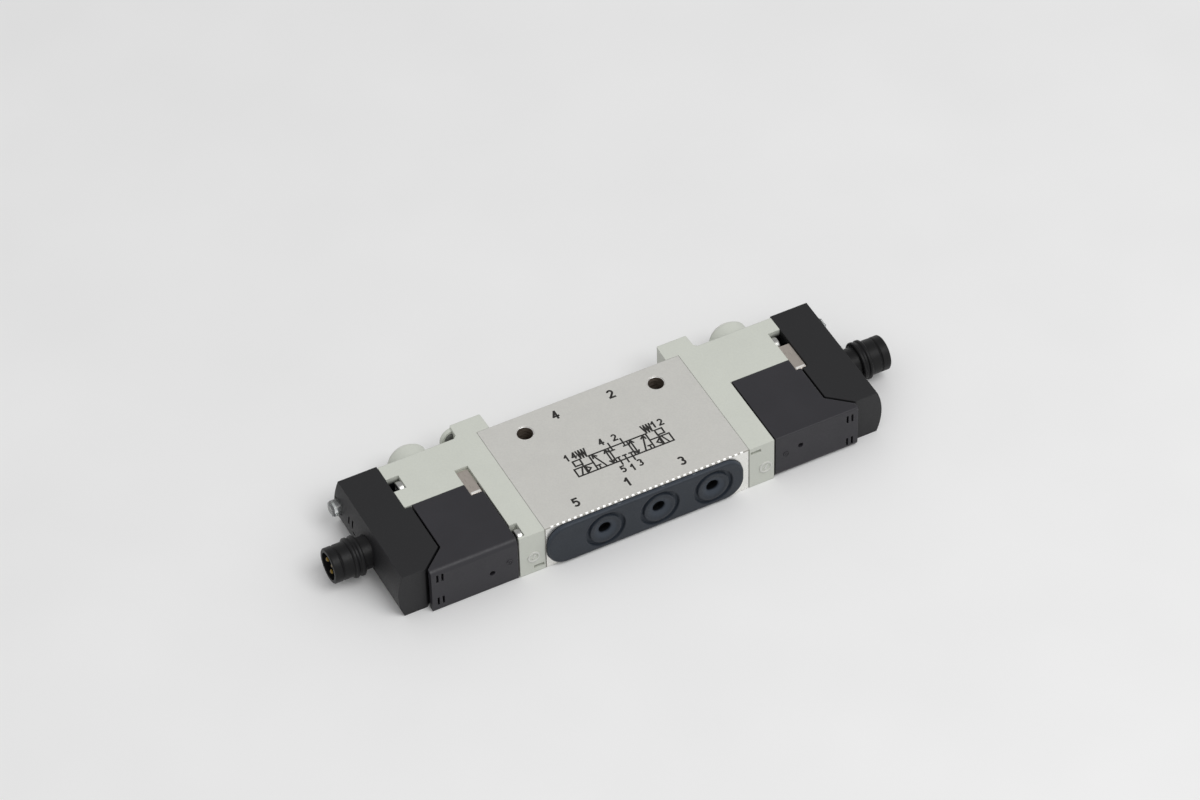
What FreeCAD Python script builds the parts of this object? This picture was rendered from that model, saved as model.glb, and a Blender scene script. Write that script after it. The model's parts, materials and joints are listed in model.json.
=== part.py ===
import FreeCAD, Part
import math
import os
import Sketcher

# In-line pneumatic solenoid valve, 5/3 way, with a pilot solenoid and a plug box at each end.
# Millimetres. X runs along the valve, Y across its broad face, Z through its thickness.
# The origin is the centre of the valve body's lower broad face, on which the valve lies.
# Each end module is drawn at the left end, where the outward direction is -X and its label
# side is up. The right module is the same set of pieces turned half a turn about Y.

# Driving sizes. Each one becomes a cell of the document's sheet, under the same name.
driving_sizes = {
    # valve body
    "body_length": 41.6,
    "body_width": 27.5,
    "body_thickness": 10.0,
    "body_edge_break": 0.15,
    "near_edge_break": 0.2,
    "mounting_hole_radius": 1.6,
    "mounting_hole_end_inset": 7.3,
    "mounting_hole_shift": 0.4,
    "mounting_hole_far_inset": 4.25,
    "mounting_hole_chamfer": 0.15,
    # ports
    "port_centre": 1.95,
    "port_pitch": 11.0,
    "outlet_thread_radius": 2.1,
    "outlet_thread_depth": 6.0,
    "outlet_chamfer": 0.45,
    "port_drill_radius": 1.2,
    # port gasket
    "gasket_left_inset": 0.2,
    "gasket_right_inset": 1.5,
    "gasket_face_inset": 0.4,
    "gasket_corner_radius": 3.9,
    "gasket_recess_depth": 1.2,
    "gasket_proud": 0.9,
    "gasket_edge_round": 0.45,
    "gasket_ring_radius": 4.0,
    "gasket_boss_radius": 3.15,
    "gasket_ring_depth": 0.7,
    "gasket_dish_radius": 2.6,
    "gasket_dish_depth": 0.5,
    "gasket_bore_radius": 1.25,
    # spool and its bore
    "spool_bore_radius": 2.6,
    "spool_travel": 1.5,
    "spool_waist_radius": 1.45,
    "spool_stem_radius": 1.7,
    "spool_spigot_radius": 1.1,
    "spool_land_length": 1.9,
    "end_land_inset": 2.6,
    "chamber_radius": 3.15,
    "chamber_width": 2.6,
    "seal_lead": 0.75,
    "seal_width": 0.9,
    "seal_groove_depth": 0.7,
    # end pistons
    "piston_bore_radius": 3.6,
    "piston_length": 1.2,
    "piston_ring_width": 0.6,
    "piston_groove_depth": 0.6,
    "counterbore_depth": 2.9,
    # clearances
    "running_clearance": 0.05,
    "seal_clearance": 0.03,
    "joint_gap": 0.06,
    "part_gap": 0.3,
    "stop_gap": 0.1,
    "join_depth": 1.0,
    # pilot housing
    "collar_length": 5.2,
    "arm_length": 14.6,
    "housing_overhang": 0.55,
    "solenoid_line": 3.1,
    "housing_edge_round": 0.25,
    "end_seal_inner_radius": 3.95,
    "end_seal_width": 0.6,
    "end_seal_thickness": 0.6,
    "collar_slot_inset": 0.35,
    "collar_slot_length": 2.1,
    "collar_slot_low": 1.0,
    "collar_slot_height": 0.7,
    "collar_slot_depth": 0.85,
    # lug with its hoop
    "lug_height": 3.4,
    "lug_overlap": 2.6,
    "lug_step": 1.45,
    "lug_flank": 0.1,
    "lug_root": 0.6,
    "hoop_drop": 0.2,
    "hoop_thickness": 0.9,
    "hoop_length": 2.1,
    "hoop_face_inset": 0.35,
    "hoop_span": 5.6,
    "hoop_corner_radius": 2.65,
    "hoop_wall": 0.7,
    # manual override
    "boss_radius": 3.95,
    "boss_height": 3.6,
    "button_radius": 3.4,
    "button_height": 1.1,
    "button_length": 7.1,
    "button_travel": 1.2,
    "button_edge_round": 0.4,
    "button_slot_width": 0.8,
    "button_slot_length": 4.6,
    "button_slot_depth": 0.7,
    "button_pin_radius": 0.7,
    "button_groove_depth": 0.6,
    "spring_pocket_radius": 1.9,
    "spring_pocket_depth": 3.2,
    # long housing screws and collar screws
    "screw_radius": 0.8,
    "screw_head_radius": 1.6,
    "screw_head_length": 1.2,
    "screw_head_round": 0.35,
    "screw_drive_radius": 0.65,
    "screw_drive_depth": 0.7,
    "screw_hole_clearance": 0.05,
    "screw_line_inset": 5.15,
    "screw_face_inset": 1.9,
    "screw_body_depth": 4.2,
    "screw_notch_width": 3.4,
    "screw_notch_depth": 2.5,
    "collar_screw_inset": 2.25,
    "collar_screw_depth": 1.4,
    # solenoid case
    "solenoid_inset": 1.5,
    "bevel_run": 4.4,
    "bevel_start_inset": 5.05,
    "bevel_end_inset": 1.2,
    "solenoid_label_round": 1.2,
    "solenoid_back_round": 0.25,
    "coil_cavity_radius": 4.25,
    "coil_floor_wall": 2.25,
    "gate_hole_radius": 0.55,
    "gate_hole_depth": 1.0,
    "gate_hole_inset": 1.8,
    "gate_hole_drop": 1.0,
    "near_slot_width": 0.45,
    "near_slot_height": 1.9,
    "near_slot_depth": 0.8,
    "near_slot_inset": 1.2,
    "near_slot_pitch": 1.0,
    "near_slot_drop": 2.8,
    "near_slot_rise": 3.0,
    # coil and armature
    "coil_wall_clearance": 0.1,
    "bobbin_bore_radius": 2.0,
    "bobbin_wall": 0.5,
    "bobbin_flange": 0.7,
    "armature_travel": 0.4,
    "armature_length": 6.0,
    "core_pocket_radius": 1.35,
    "core_pocket_depth": 1.7,
    "seat_disc_radius": 1.2,
    "seat_disc_thickness": 0.6,
    "interface_seal_radius": 2.9,
    "interface_seal_width": 0.6,
    "interface_seal_thickness": 0.6,
    # retaining clips
    "clip_width": 2.25,
    "clip_thickness": 0.45,
    "clip_end_gap": 0.6,
    "back_clip_reach": 0.5,
    "clip_case_length": 2.85,
    "clip_leg": 2.2,
    "clip_lip": 0.85,
    "clip_recess": 0.85,
    "label_clip_inset": 0.3,
    "back_clip_inset": 0.05,
    # electrical connection box
    "box_gap": 0.4,
    "bevel_gap": 0.3,
    "box_far_step": 0.35,
    "box_near_inset": 1.55,
    "box_depth": 7.8,
    "box_bulge": 1.0,
    "box_edge_round": 0.4,
    "box_wall": 1.25,
    "box_near_wall": 3.7,
    "box_shoulder_wall": 1.05,
    "box_mouth_low": 7.0,
    "box_mouth_high": 1.4,
    "board_thickness": 1.0,
    "board_width": 4.2,
    "terminal_radius": 0.3,
    "terminal_near": 4.6,
    "terminal_far": 1.6,
    "terminal_lap": 0.7,
    # light pipe
    "light_pipe_inset": 0.45,
    "light_pipe_width": 2.7,
    "light_pipe_drop": 0.7,
    "light_pipe_rise": 1.9,
    "light_pipe_length": 1.7,
    "light_pipe_round": 0.5,
    # slots in the end wall of the box
    "end_slot_width": 0.5,
    "end_slot_length": 1.8,
    "outer_slot_inset": 6.2,
    "outer_slot_lift": 1.0,
    "inner_slot_inset": 7.7,
    "inner_slot_lift": 1.3,
    "cross_slot_inset": 8.25,
    "cross_slot_drop": 0.55,
    "cross_slot_length": 1.0,
    # round plug
    "plug_line": 0.9,
    "plug_neck_radius": 3.1,
    "plug_radius": 3.4,
    "plug_rib_radius": 3.85,
    "plug_valley_radius": 3.6,
    "plug_rib_start": 1.7,
    "plug_rib_width": 0.8,
    "plug_rib_gap": 0.45,
    "plug_rib_ease": 0.2,
    "plug_length": 7.7,
    "plug_wall": 0.75,
    "plug_end_round": 0.2,
    "plug_groove_start": 5.65,
    "plug_groove_depth": 0.2,
    "plug_groove_width": 0.5,
    "plug_recess": 3.2,
    "plug_flange_radius": 3.6,
    "plug_flange": 0.6,
    "contact_radius": 0.5,
    "contact_circle": 1.35,
    "contact_reach": 2.95,
    "contact_chamfer": 0.25,
}


class Size:
    """A length that carries its value and the sheet expression that it follows."""

    def __init__(self, value, text):
        self.value = float(value)
        self.text = text

    def _with(self, other, sign, work):
        if not isinstance(other, Size):
            other = Size(other, repr(float(other)))
        return Size(work(self.value, other.value), "(%s %s %s)" % (self.text, sign, other.text))

    def __add__(self, other):
        return self._with(other, "+", lambda a, b: a + b)

    def __sub__(self, other):
        return self._with(other, "-", lambda a, b: a - b)

    def __mul__(self, other):
        return self._with(other, "*", lambda a, b: a * b)

    def __truediv__(self, other):
        return self._with(other, "/", lambda a, b: a / b)

    def __neg__(self):
        return Size(-self.value, "(0 - %s)" % self.text)


doc = FreeCAD.newDocument("solenoid_valve")
sheet = doc.addObject("Spreadsheet::Sheet", "Sizes")
for row, (alias, value) in enumerate(driving_sizes.items(), start=1):
    sheet.set("A%d" % row, alias)
    sheet.set("B%d" % row, str(value))
    sheet.setAlias("B%d" % row, alias)
doc.recompute()


def size(alias):
    """The size under an alias of the sheet."""
    return Size(float(sheet.get(alias)), "Sizes.%s" % alias)


def as_size(length):
    return length if isinstance(length, Size) else Size(length, repr(float(length)))


ZERO = as_size(0.0)
X_AXIS = "X_Axis"
Y_AXIS = "Y_Axis"
XY = "XY_Plane"
XZ = "XZ_Plane"
YZ = "YZ_Plane"


def edges_along(shape, direction, test):
    """Names of the straight edges along a direction whose middle passes the test."""
    names = []
    for number, edge in enumerate(shape.Edges, start=1):
        if edge.Curve.TypeId != "Part::GeomLine":
            continue
        run = edge.Vertexes[-1].Point.sub(edge.Vertexes[0].Point)
        run.normalize()
        if abs(abs(run.dot(direction)) - 1.0) > 1e-6:
            continue
        middle = edge.CenterOfMass
        if test(middle):
            names.append("Edge%d" % number)
    return names


class Piece:
    """One physical piece: a body with its sketches and features, in its own frame."""

    def __init__(self, name, side="", at=(ZERO, ZERO, ZERO)):
        self.name = name + ("_" + side if side else "")
        self.body = doc.addObject("PartDesign::Body", self.name)
        self.body.Label = self.name
        self.planes = {entry.Role: entry for entry in self.body.Origin.OriginFeatures}
        self.count = 0
        x, y, z = (as_size(length) for length in at)
        turn = FreeCAD.Rotation()
        if side == "right":
            turn = FreeCAD.Rotation(FreeCAD.Vector(0, 1, 0), 180)
            x = -x
            z = size("body_thickness") - z
        self.body.Placement = FreeCAD.Placement(FreeCAD.Vector(x.value, y.value, z.value), turn)
        for name_of_axis, length in (("x", x), ("y", y), ("z", z)):
            self.body.setExpression("Placement.Base.%s" % name_of_axis, length.text)
        pieces.append(self.body)

    def _new(self, kind, word):
        self.count += 1
        return self.body.newObject(kind, "%s_%s_%d" % (self.name, word, self.count))

    def sketch(self, plane, level=ZERO):
        """A sketch on an origin plane, moved along the plane's normal to the level."""
        sketch = self._new("Sketcher::SketchObject", "sketch")
        sketch.AttachmentSupport = [(self.planes[plane], "")]
        sketch.MapMode = "FlatFace"
        if plane == XZ:
            level = -as_size(level)
        level = as_size(level)
        sketch.AttachmentOffset = FreeCAD.Placement(
            FreeCAD.Vector(0, 0, level.value), FreeCAD.Rotation()
        )
        sketch.setExpression("AttachmentOffset.Base.z", level.text)
        return sketch

    def _volume(self):
        return self.body.Shape.Volume if not self.body.Shape.isNull() else 0.0

    def _finish(self, feature, grows):
        before = self._volume()
        doc.recompute()
        after = self._volume()
        if grows and after <= before or not grows and after >= before:
            raise ValueError("%s does not change %s as meant" % (feature.Name, self.name))
        return feature

    def pad(self, plane, low, high, draw):
        """Adds a prism between two levels along the plane's normal."""
        low, high = as_size(low), as_size(high)
        sketch = self.sketch(plane, high if plane == XZ else low)
        draw(sketch)
        pad = self._new("PartDesign::Pad", "pad")
        pad.Profile = sketch
        pad.Length = (high - low).value
        pad.setExpression("Length", (high - low).text)
        return self._finish(pad, True)

    def cut(self, plane, low, high, draw):
        """Removes a prism between two levels along the plane's normal."""
        low, high = as_size(low), as_size(high)
        sketch = self.sketch(plane, high if plane == XZ else low)
        draw(sketch)
        pocket = self._new("PartDesign::Pocket", "pocket")
        pocket.Profile = sketch
        pocket.Reversed = True
        pocket.Length = (high - low).value
        pocket.setExpression("Length", (high - low).text)
        return self._finish(pocket, False)

    def turn(self, axis, points, kind="PartDesign::Revolution", level=ZERO):
        """Turns a half section, given as (along, radius) points, about X or Y."""
        sketch = self.sketch(XY, level)
        if axis == X_AXIS:
            outline([(along, radius) for along, radius in points])(sketch)
            reference = "H_Axis"
        else:
            outline([(radius, along) for along, radius in points])(sketch)
            reference = "V_Axis"
        solid = self._new(kind, "turn")
        solid.Profile = sketch
        solid.ReferenceAxis = (sketch, [reference])
        solid.Angle = 360
        return self._finish(solid, kind == "PartDesign::Revolution")

    def groove(self, axis, points, level=ZERO):
        return self.turn(axis, points, "PartDesign::Groove", level)

    def spring(self, axis, start, length, mean_radius, wire_radius, turns):
        """A coil of hexagonal-section wire about X or Y."""
        sketch = self.sketch(XY)
        start, length = as_size(start), as_size(length)
        corners = []
        for corner in range(6):
            angle = math.radians(60 * corner)
            along = start + wire_radius + wire_radius * math.cos(angle)
            radius = mean_radius + wire_radius * math.sin(angle)
            corners.append((along, radius) if axis == X_AXIS else (radius, along))
        outline(corners)(sketch)
        coil = self._new("PartDesign::AdditiveHelix", "coil")
        coil.Profile = sketch
        coil.ReferenceAxis = (self.planes[axis], [""])
        coil.Mode = "height-turns-angle"
        coil.Turns = turns
        height = length - wire_radius * 2
        coil.Height = height.value
        coil.setExpression("Height", height.text)
        return self._finish(coil, True)

    def pattern(self, axis, length, occurrences, grows=True):
        """Repeats the last feature along an origin axis."""
        repeated = self._new("PartDesign::LinearPattern", "pattern")
        repeated.Originals = [self.body.Tip]
        repeated.Direction = (self.planes[axis], [""])
        repeated.Length = length.value
        repeated.setExpression("Length", length.text)
        repeated.Occurrences = occurrences
        self.body.Tip = repeated
        return self._finish(repeated, grows)

    def dress(self, kind, edges, amount):
        """A fillet or chamfer on the named edges of the body as it stands."""
        if not edges:
            raise ValueError("no edge found for %s on %s" % (kind, self.name))
        base = self.body.Tip
        dressed = self._new("PartDesign::%s" % kind, kind.lower())
        dressed.Base = (base, edges)
        property_name = "Radius" if kind == "Fillet" else "Size"
        setattr(dressed, property_name, amount.value)
        dressed.setExpression(property_name, amount.text)
        doc.recompute()
        return dressed

    def straight_edges(self, direction, test):
        """Names of straight edges, tested on their middle point in the piece's own frame."""
        return edges_along(self.body.Tip.Shape, direction, test)

    def round_edges(self, radius, test=lambda edge: True):
        """Names of full circle edges of a radius."""
        names = []
        for number, edge in enumerate(self.body.Tip.Shape.Edges, start=1):
            curve = edge.Curve
            if curve.TypeId == "Part::GeomCircle" and abs(curve.Radius - radius.value) < 1e-4:
                if test(edge):
                    names.append("Edge%d" % number)
        return names


pieces = []


def outline(points, arcs=None):
    """Draws a closed outline. arcs gives, for an edge's number, the x of an arc's centre.

    An outline with arcs is listed counter-clockwise and its arcs bulge outwards.
    """
    arcs = arcs or {}
    points = [(as_size(x), as_size(y)) for x, y in points]

    def draw(sketch):
        base = sketch.GeometryCount
        count = len(points)
        for number in range(count):
            x1, y1 = (length.value for length in points[number])
            x2, y2 = (length.value for length in points[(number + 1) % count])
            if number in arcs:
                cx = arcs[number].value
                cy = (y1 + y2 + (x2 - x1) * (x1 + x2 - cx * 2) / (y2 - y1)) / 2
                radius = math.hypot(x1 - cx, y1 - cy)
                circle = Part.Circle(FreeCAD.Vector(cx, cy, 0), FreeCAD.Vector(0, 0, 1), radius)
                first = math.atan2(y1 - cy, x1 - cx)
                last = math.atan2(y2 - cy, x2 - cx)
                if last < first:
                    last += 2 * math.pi
                sketch.addGeometry(Part.ArcOfCircle(circle, first, last), False)
            else:
                line = Part.LineSegment(FreeCAD.Vector(x1, y1, 0), FreeCAD.Vector(x2, y2, 0))
                sketch.addGeometry(line, False)
        for number in range(count):
            follower = base + (number + 1) % count
            sketch.addConstraint(
                Sketcher.Constraint("Coincident", base + number, 2, follower, 1)
            )
        for number, (x, y) in enumerate(points):
            pin(sketch, "DistanceX", base + number, 1, x)
            pin(sketch, "DistanceY", base + number, 1, y)
        for number, centre in arcs.items():
            pin(sketch, "DistanceX", base + number, 3, centre)

    return draw


def pin(sketch, kind, geometry, vertex, length):
    """Fixes one coordinate of a point to a size."""
    constraint = Sketcher.Constraint(kind, -1, 1, geometry, vertex, length.value)
    index = sketch.addConstraint(constraint)
    sketch.setExpression("Constraints[%d]" % index, length.text)


def circle(x, y, radius):
    x, y, radius = as_size(x), as_size(y), as_size(radius)

    def draw(sketch):
        centre = FreeCAD.Vector(x.value, y.value, 0)
        ring = Part.Circle(centre, FreeCAD.Vector(0, 0, 1), radius.value)
        number = sketch.addGeometry(ring, False)
        pin(sketch, "DistanceX", number, 3, x)
        pin(sketch, "DistanceY", number, 3, y)
        index = sketch.addConstraint(Sketcher.Constraint("Radius", number, radius.value))
        sketch.setExpression("Constraints[%d]" % index, radius.text)

    return draw


def box(x_low, x_high, y_low, y_high):
    return outline([(x_low, y_low), (x_high, y_low), (x_high, y_high), (x_low, y_high)])


def rounded_box(x_low, x_high, y_low, y_high, radius):
    """A rectangle with four round corners."""
    left, right = as_size(x_low) + radius, as_size(x_high) - radius
    low, high = as_size(y_low) + radius, as_size(y_high) - radius
    points = [(left, y_low), (right, y_low), (x_high, low), (x_high, high),
              (right, y_high), (left, y_high), (x_low, high), (x_low, low)]
    return outline(points, {1: right, 3: right, 5: left, 7: left})


def together(*draws):
    def draw(sketch):
        for one in draws:
            one(sketch)

    return draw


# Sizes that follow from the driving ones and are shared by several pieces.
half_length = size("body_length") / 2
half_width = size("body_width") / 2
thickness = size("body_thickness")
middle = thickness / 2
seam = size("joint_gap")
clearance = size("running_clearance")
port_centre = size("port_centre")
port_pitch = size("port_pitch")
lower_ports = [port_centre + port_pitch * step for step in (-1, 0, 1)]
upper_ports = [port_centre + port_pitch * step for step in (-0.5, 0.5)]
all_ports = [port_centre + port_pitch * step for step in (-1, -0.5, 0, 0.5, 1)]
lead = size("seal_lead")
counterbore_floor = half_length - size("counterbore_depth")
end_land = counterbore_floor - size("end_land_inset")
spool_seal_places = [
    -end_land,
    port_centre - port_pitch * 0.75 - lead,
    port_centre - port_pitch * 0.25 + lead,
    port_centre + port_pitch * 0.25 - lead,
    port_centre + port_pitch * 0.75 + lead,
    end_land,
]
gasket_left = -half_length + size("gasket_left_inset")
gasket_right = half_length - size("gasket_right_inset")
gasket_low = size("gasket_face_inset")
gasket_high = thickness - gasket_low
gasket_seat = -half_width + size("gasket_recess_depth")

# Stations along X, counted outwards from the middle of the valve.
collar_inner = half_length + seam
collar_outer = half_length + size("collar_length")
housing_end = collar_outer + size("arm_length")
override_x = collar_outer + size("arm_length") / 2
notch_inner = housing_end - size("screw_notch_depth")
collar_seat = collar_outer - size("collar_screw_depth")
lug_inner = half_length - size("lug_overlap")
lug_outer = collar_outer - size("lug_step")
hoop_end = lug_outer + size("hoop_length")
case_inner = collar_outer + size("part_gap")
case_outer = housing_end - size("solenoid_inset")
case_near_end = case_outer + size("bevel_run")
label_clip_edge = collar_outer + size("label_clip_inset")
back_clip_edge = housing_end - size("clip_width") - size("back_clip_inset")
box_inner = case_outer + size("box_gap")
box_shoulder = housing_end + seam
box_cavity_start = box_shoulder + size("box_shoulder_wall")
box_end = housing_end + size("box_depth")
plug_seat = box_end + size("box_bulge")
cavity_end = box_end - size("box_wall") + size("box_bulge") / 2
board_end = cavity_end - size("plug_flange") - size("part_gap") * 2
board_start = board_end - size("board_width")
piston_inner = collar_inner + size("stop_gap") + size("spool_travel")
piston_outer = piston_inner + size("piston_length")
piston_floor = piston_outer + size("spool_travel") + size("stop_gap")
screw_reach = half_length - size("screw_body_depth")

# Stations along Y: the housing's far side, the override's axis line and the coil's stack.
far_edge = half_width + size("housing_overhang")
lug_top = far_edge + size("lug_height")
boss_end = far_edge + size("boss_height")
screw_line = far_edge - size("screw_line_inset")
collar_screw_line = half_width - size("collar_screw_inset")
housing_gap = size("solenoid_line")
clip_start = housing_gap - size("clip_case_length")
label_clip_end = screw_line - size("screw_notch_width") / 2 - size("clip_end_gap")
back_clip_end = label_clip_end + size("back_clip_reach")
bevel_start = half_width - size("bevel_start_inset")
bevel_end = half_width - size("bevel_end_inset")
box_far = far_edge + size("box_far_step")
box_near = half_width - size("box_near_inset")
box_cavity_near = box_near - size("box_near_wall")
case_top = housing_gap - seam
coil_floor = half_width - size("coil_floor_wall")
button_inner = boss_end + size("button_height") - size("button_length")
button_floor = button_inner - size("button_travel") - size("stop_gap")
pocket_floor = button_floor - size("spring_pocket_depth")
disc_top = case_top - size("stop_gap")
armature_top = disc_top - size("seat_disc_thickness")
armature_bottom = armature_top - size("armature_length")
core_top = armature_bottom - size("armature_travel") - size("stop_gap")
core_bottom = -coil_floor + seam
core_length = core_top - core_bottom
bobbin_bottom = core_bottom + size("bobbin_wall")
pin_tip = disc_top + size("button_travel") + size("stop_gap")

# Levels along Z, with the label side of the left module up.
screw_levels = [size("screw_face_inset"), thickness - size("screw_face_inset")]
terminal_level = middle + size("board_thickness") / 2 + size("terminal_radius") + clearance
pipe_bottom = middle - size("light_pipe_drop")
pipe_top = middle + size("light_pipe_rise")
pipe_high = box_far - size("light_pipe_inset")
pipe_low = pipe_high - size("light_pipe_width")
coil_radius = size("coil_cavity_radius")
join = size("join_depth")


def make_valve_body():
    """Extruded and milled aluminium block with the spool bore, the ports and the fixings."""
    piece = Piece("valve_body")
    piece.pad(XY, ZERO, thickness, box(-half_length, half_length, -half_width, half_width))
    upright = FreeCAD.Vector(0, 0, 1)
    piece.dress("Chamfer", piece.straight_edges(upright, lambda p: True), size("body_edge_break"))

    def near_top(point):
        return point.y < -half_width.value + 0.01 and point.z > thickness.value - 0.01

    near_edges = piece.straight_edges(FreeCAD.Vector(1, 0, 0), near_top)
    piece.dress("Chamfer", near_edges, size("near_edge_break"))

    # Milled recess for the port gasket in the near edge face.
    piece.cut(XZ, -half_width, gasket_seat, rounded_box(
        gasket_left - clearance, gasket_right + clearance,
        gasket_low - clearance, gasket_high + clearance,
        size("gasket_corner_radius") + clearance))

    # Stepped bore along X: five annular chambers at the ports and a counterbore at each end.
    bore = size("spool_bore_radius")
    half_chamber = size("chamber_width") / 2
    section = [(-half_length, ZERO), (-half_length, size("piston_bore_radius")),
               (-counterbore_floor, size("piston_bore_radius")), (-counterbore_floor, bore)]
    for port in all_ports:
        section += [(port - half_chamber, bore), (port - half_chamber, size("chamber_radius")),
                    (port + half_chamber, size("chamber_radius")), (port + half_chamber, bore)]
    section += [(counterbore_floor, bore), (counterbore_floor, size("piston_bore_radius")),
                (half_length, size("piston_bore_radius")), (half_length, ZERO)]
    piece.groove(X_AXIS, section, middle)

    # Outlet ports 4 and 2 in the far edge face: thread core, then a drilling to the bore.
    thread = size("outlet_thread_radius")
    thread_floor = half_width - size("outlet_thread_depth")
    piece.cut(XZ, thread_floor, half_width,
              together(*[circle(port, middle, thread) for port in upper_ports]))
    mouths = piece.round_edges(thread, lambda edge: edge.CenterOfMass.y > half_width.value - 1e-3)
    piece.dress("Chamfer", mouths, size("outlet_chamfer"))
    piece.cut(XZ, bore, thread_floor,
              together(*[circle(port, middle, size("port_drill_radius")) for port in upper_ports]))

    # Supply and exhaust drillings 5, 1 and 3 behind the gasket.
    piece.cut(XZ, gasket_seat, -bore,
              together(*[circle(port, middle, size("port_drill_radius")) for port in lower_ports]))

    # Two through holes for the mounting screws, chamfered on both broad faces.
    hole = size("mounting_hole_radius")
    half_spacing = half_length - size("mounting_hole_end_inset")
    shift = size("mounting_hole_shift")
    row = half_width - size("mounting_hole_far_inset")
    piece.cut(XY, ZERO, thickness,
              together(circle(shift - half_spacing, row, hole),
                       circle(shift + half_spacing, row, hole)))
    rims = piece.round_edges(hole)
    piece.dress("Chamfer", rims, size("mounting_hole_chamfer"))

    # Blind threaded holes in both end faces for the housing screws and the collar screws.
    drill = size("screw_radius") + size("screw_hole_clearance")
    blind_end = screw_reach - size("stop_gap")
    long_holes = [circle(screw_line, level, drill) for level in screw_levels]
    left_holes = long_holes + [circle(-collar_screw_line, screw_levels[1], drill)]
    right_holes = long_holes + [circle(-collar_screw_line, screw_levels[0], drill)]
    piece.cut(YZ, -half_length, -blind_end, together(*left_holes))
    piece.cut(YZ, blind_end, half_length, together(*right_holes))


def make_port_gasket():
    """Moulded rubber gasket: a plate with a ring groove and a dished boss at each port."""
    first = lower_ports[0]
    piece = Piece("port_gasket", at=(first, ZERO, middle))
    outer_face = -half_width - size("gasket_proud")
    piece.pad(XZ, outer_face, gasket_seat, rounded_box(
        gasket_left - first, gasket_right - first, gasket_low - middle, gasket_high - middle,
        size("gasket_corner_radius")))
    rim = []
    for number, edge in enumerate(piece.body.Tip.Shape.Edges, start=1):
        if abs(edge.CenterOfMass.y - outer_face.value) < 1e-4:
            rim.append("Edge%d" % number)
    piece.dress("Fillet", rim, size("gasket_edge_round"))
    rings = []
    for step in range(3):
        rings.append(circle(port_pitch * step, ZERO, size("gasket_ring_radius")))
        rings.append(circle(port_pitch * step, ZERO, size("gasket_boss_radius")))
    piece.cut(XZ, outer_face, outer_face + size("gasket_ring_depth"), together(*rings))
    bore = size("gasket_bore_radius")
    piece.groove(Y_AXIS, [
        (outer_face, ZERO), (outer_face, size("gasket_dish_radius")),
        (outer_face + size("gasket_dish_depth"), bore), (gasket_seat, bore),
        (gasket_seat, ZERO)])
    piece.pattern(X_AXIS, port_pitch * 2, 3, grows=False)


def make_spool():
    """Turned spool: six grooved lands, waists between them and a spigot at each end."""
    piece = Piece("spool", at=(ZERO, ZERO, middle))
    land = size("spool_bore_radius") - clearance
    half_land = size("spool_land_length") / 2
    half_groove = size("seal_width") / 2
    groove = land - size("seal_groove_depth")
    stem = size("spool_stem_radius")
    spigot = size("spool_spigot_radius")
    spigot_end = piston_outer - size("stop_gap")
    section = [(-spigot_end, ZERO), (-spigot_end, spigot), (-piston_inner, spigot),
               (-piston_inner, stem)]
    last = len(spool_seal_places) - 1
    for number, place in enumerate(spool_seal_places):
        before = stem if number == 0 else size("spool_waist_radius")
        after = stem if number == last else size("spool_waist_radius")
        section += [(place - half_land, before), (place - half_land, land),
                    (place - half_groove, land), (place - half_groove, groove),
                    (place + half_groove, groove), (place + half_groove, land),
                    (place + half_land, land), (place + half_land, after)]
    section += [(piston_inner, stem), (piston_inner, spigot), (spigot_end, spigot),
                (spigot_end, ZERO)]
    piece.turn(X_AXIS, section)


def seal_section(place, half_width_of_ring, inner, outer):
    """Section of a sealing ring with a crowned outer edge."""
    crown = (outer - inner) * 0.25
    return [(place - half_width_of_ring, inner), (place - half_width_of_ring, outer - crown),
            (place - half_width_of_ring * 0.4, outer), (place + half_width_of_ring * 0.4, outer),
            (place + half_width_of_ring, outer - crown), (place + half_width_of_ring, inner)]


def make_spool_seals():
    """Six rubber sealing rings that sit in the lands of the spool."""
    piece = Piece("spool_seals", at=(ZERO, ZERO, middle))
    seal_gap = size("seal_clearance")
    inner = size("spool_bore_radius") - clearance - size("seal_groove_depth") + seal_gap
    outer = size("spool_bore_radius") - seal_gap
    half_ring = size("seal_width") / 2 - seal_gap
    for place in spool_seal_places:
        piece.turn(X_AXIS, seal_section(place, half_ring, inner, outer))


def make_piston(side):
    """End piston on the spool's spigot: a disc with a groove for its ring."""
    piece = Piece("piston", side, (-piston_inner, ZERO, middle))
    outer = size("piston_bore_radius") - clearance
    length = size("piston_length")
    bore = size("spool_spigot_radius") + seam / 2
    centre = length / 2
    half_groove = size("piston_ring_width") / 2
    groove = outer - size("piston_groove_depth")
    piece.turn(X_AXIS, [(-length, bore), (-length, outer), (-centre - half_groove, outer),
                        (-centre - half_groove, groove), (-centre + half_groove, groove),
                        (-centre + half_groove, outer), (ZERO, outer), (ZERO, bore)])

    ring = Piece("piston_ring", side, (-piston_inner - centre, ZERO, middle))
    seal_gap = size("seal_clearance")
    ring.turn(X_AXIS, seal_section(ZERO, half_groove - seal_gap, groove + seal_gap,
                                   size("piston_bore_radius") - seal_gap))


def make_centring_spring(side):
    """Spring between the body's counterbore floor and the piston, around the spool's stem."""
    piece = Piece("centring_spring", side, (-piston_inner, ZERO, middle))
    length = piston_inner - counterbore_floor
    end_gap = seam
    wire = size("spool_stem_radius") * 0.15
    mean = (size("spool_stem_radius") + size("piston_bore_radius")) / 2
    piece.spring(X_AXIS, end_gap, length - end_gap * 2, mean, wire, 4)


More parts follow.
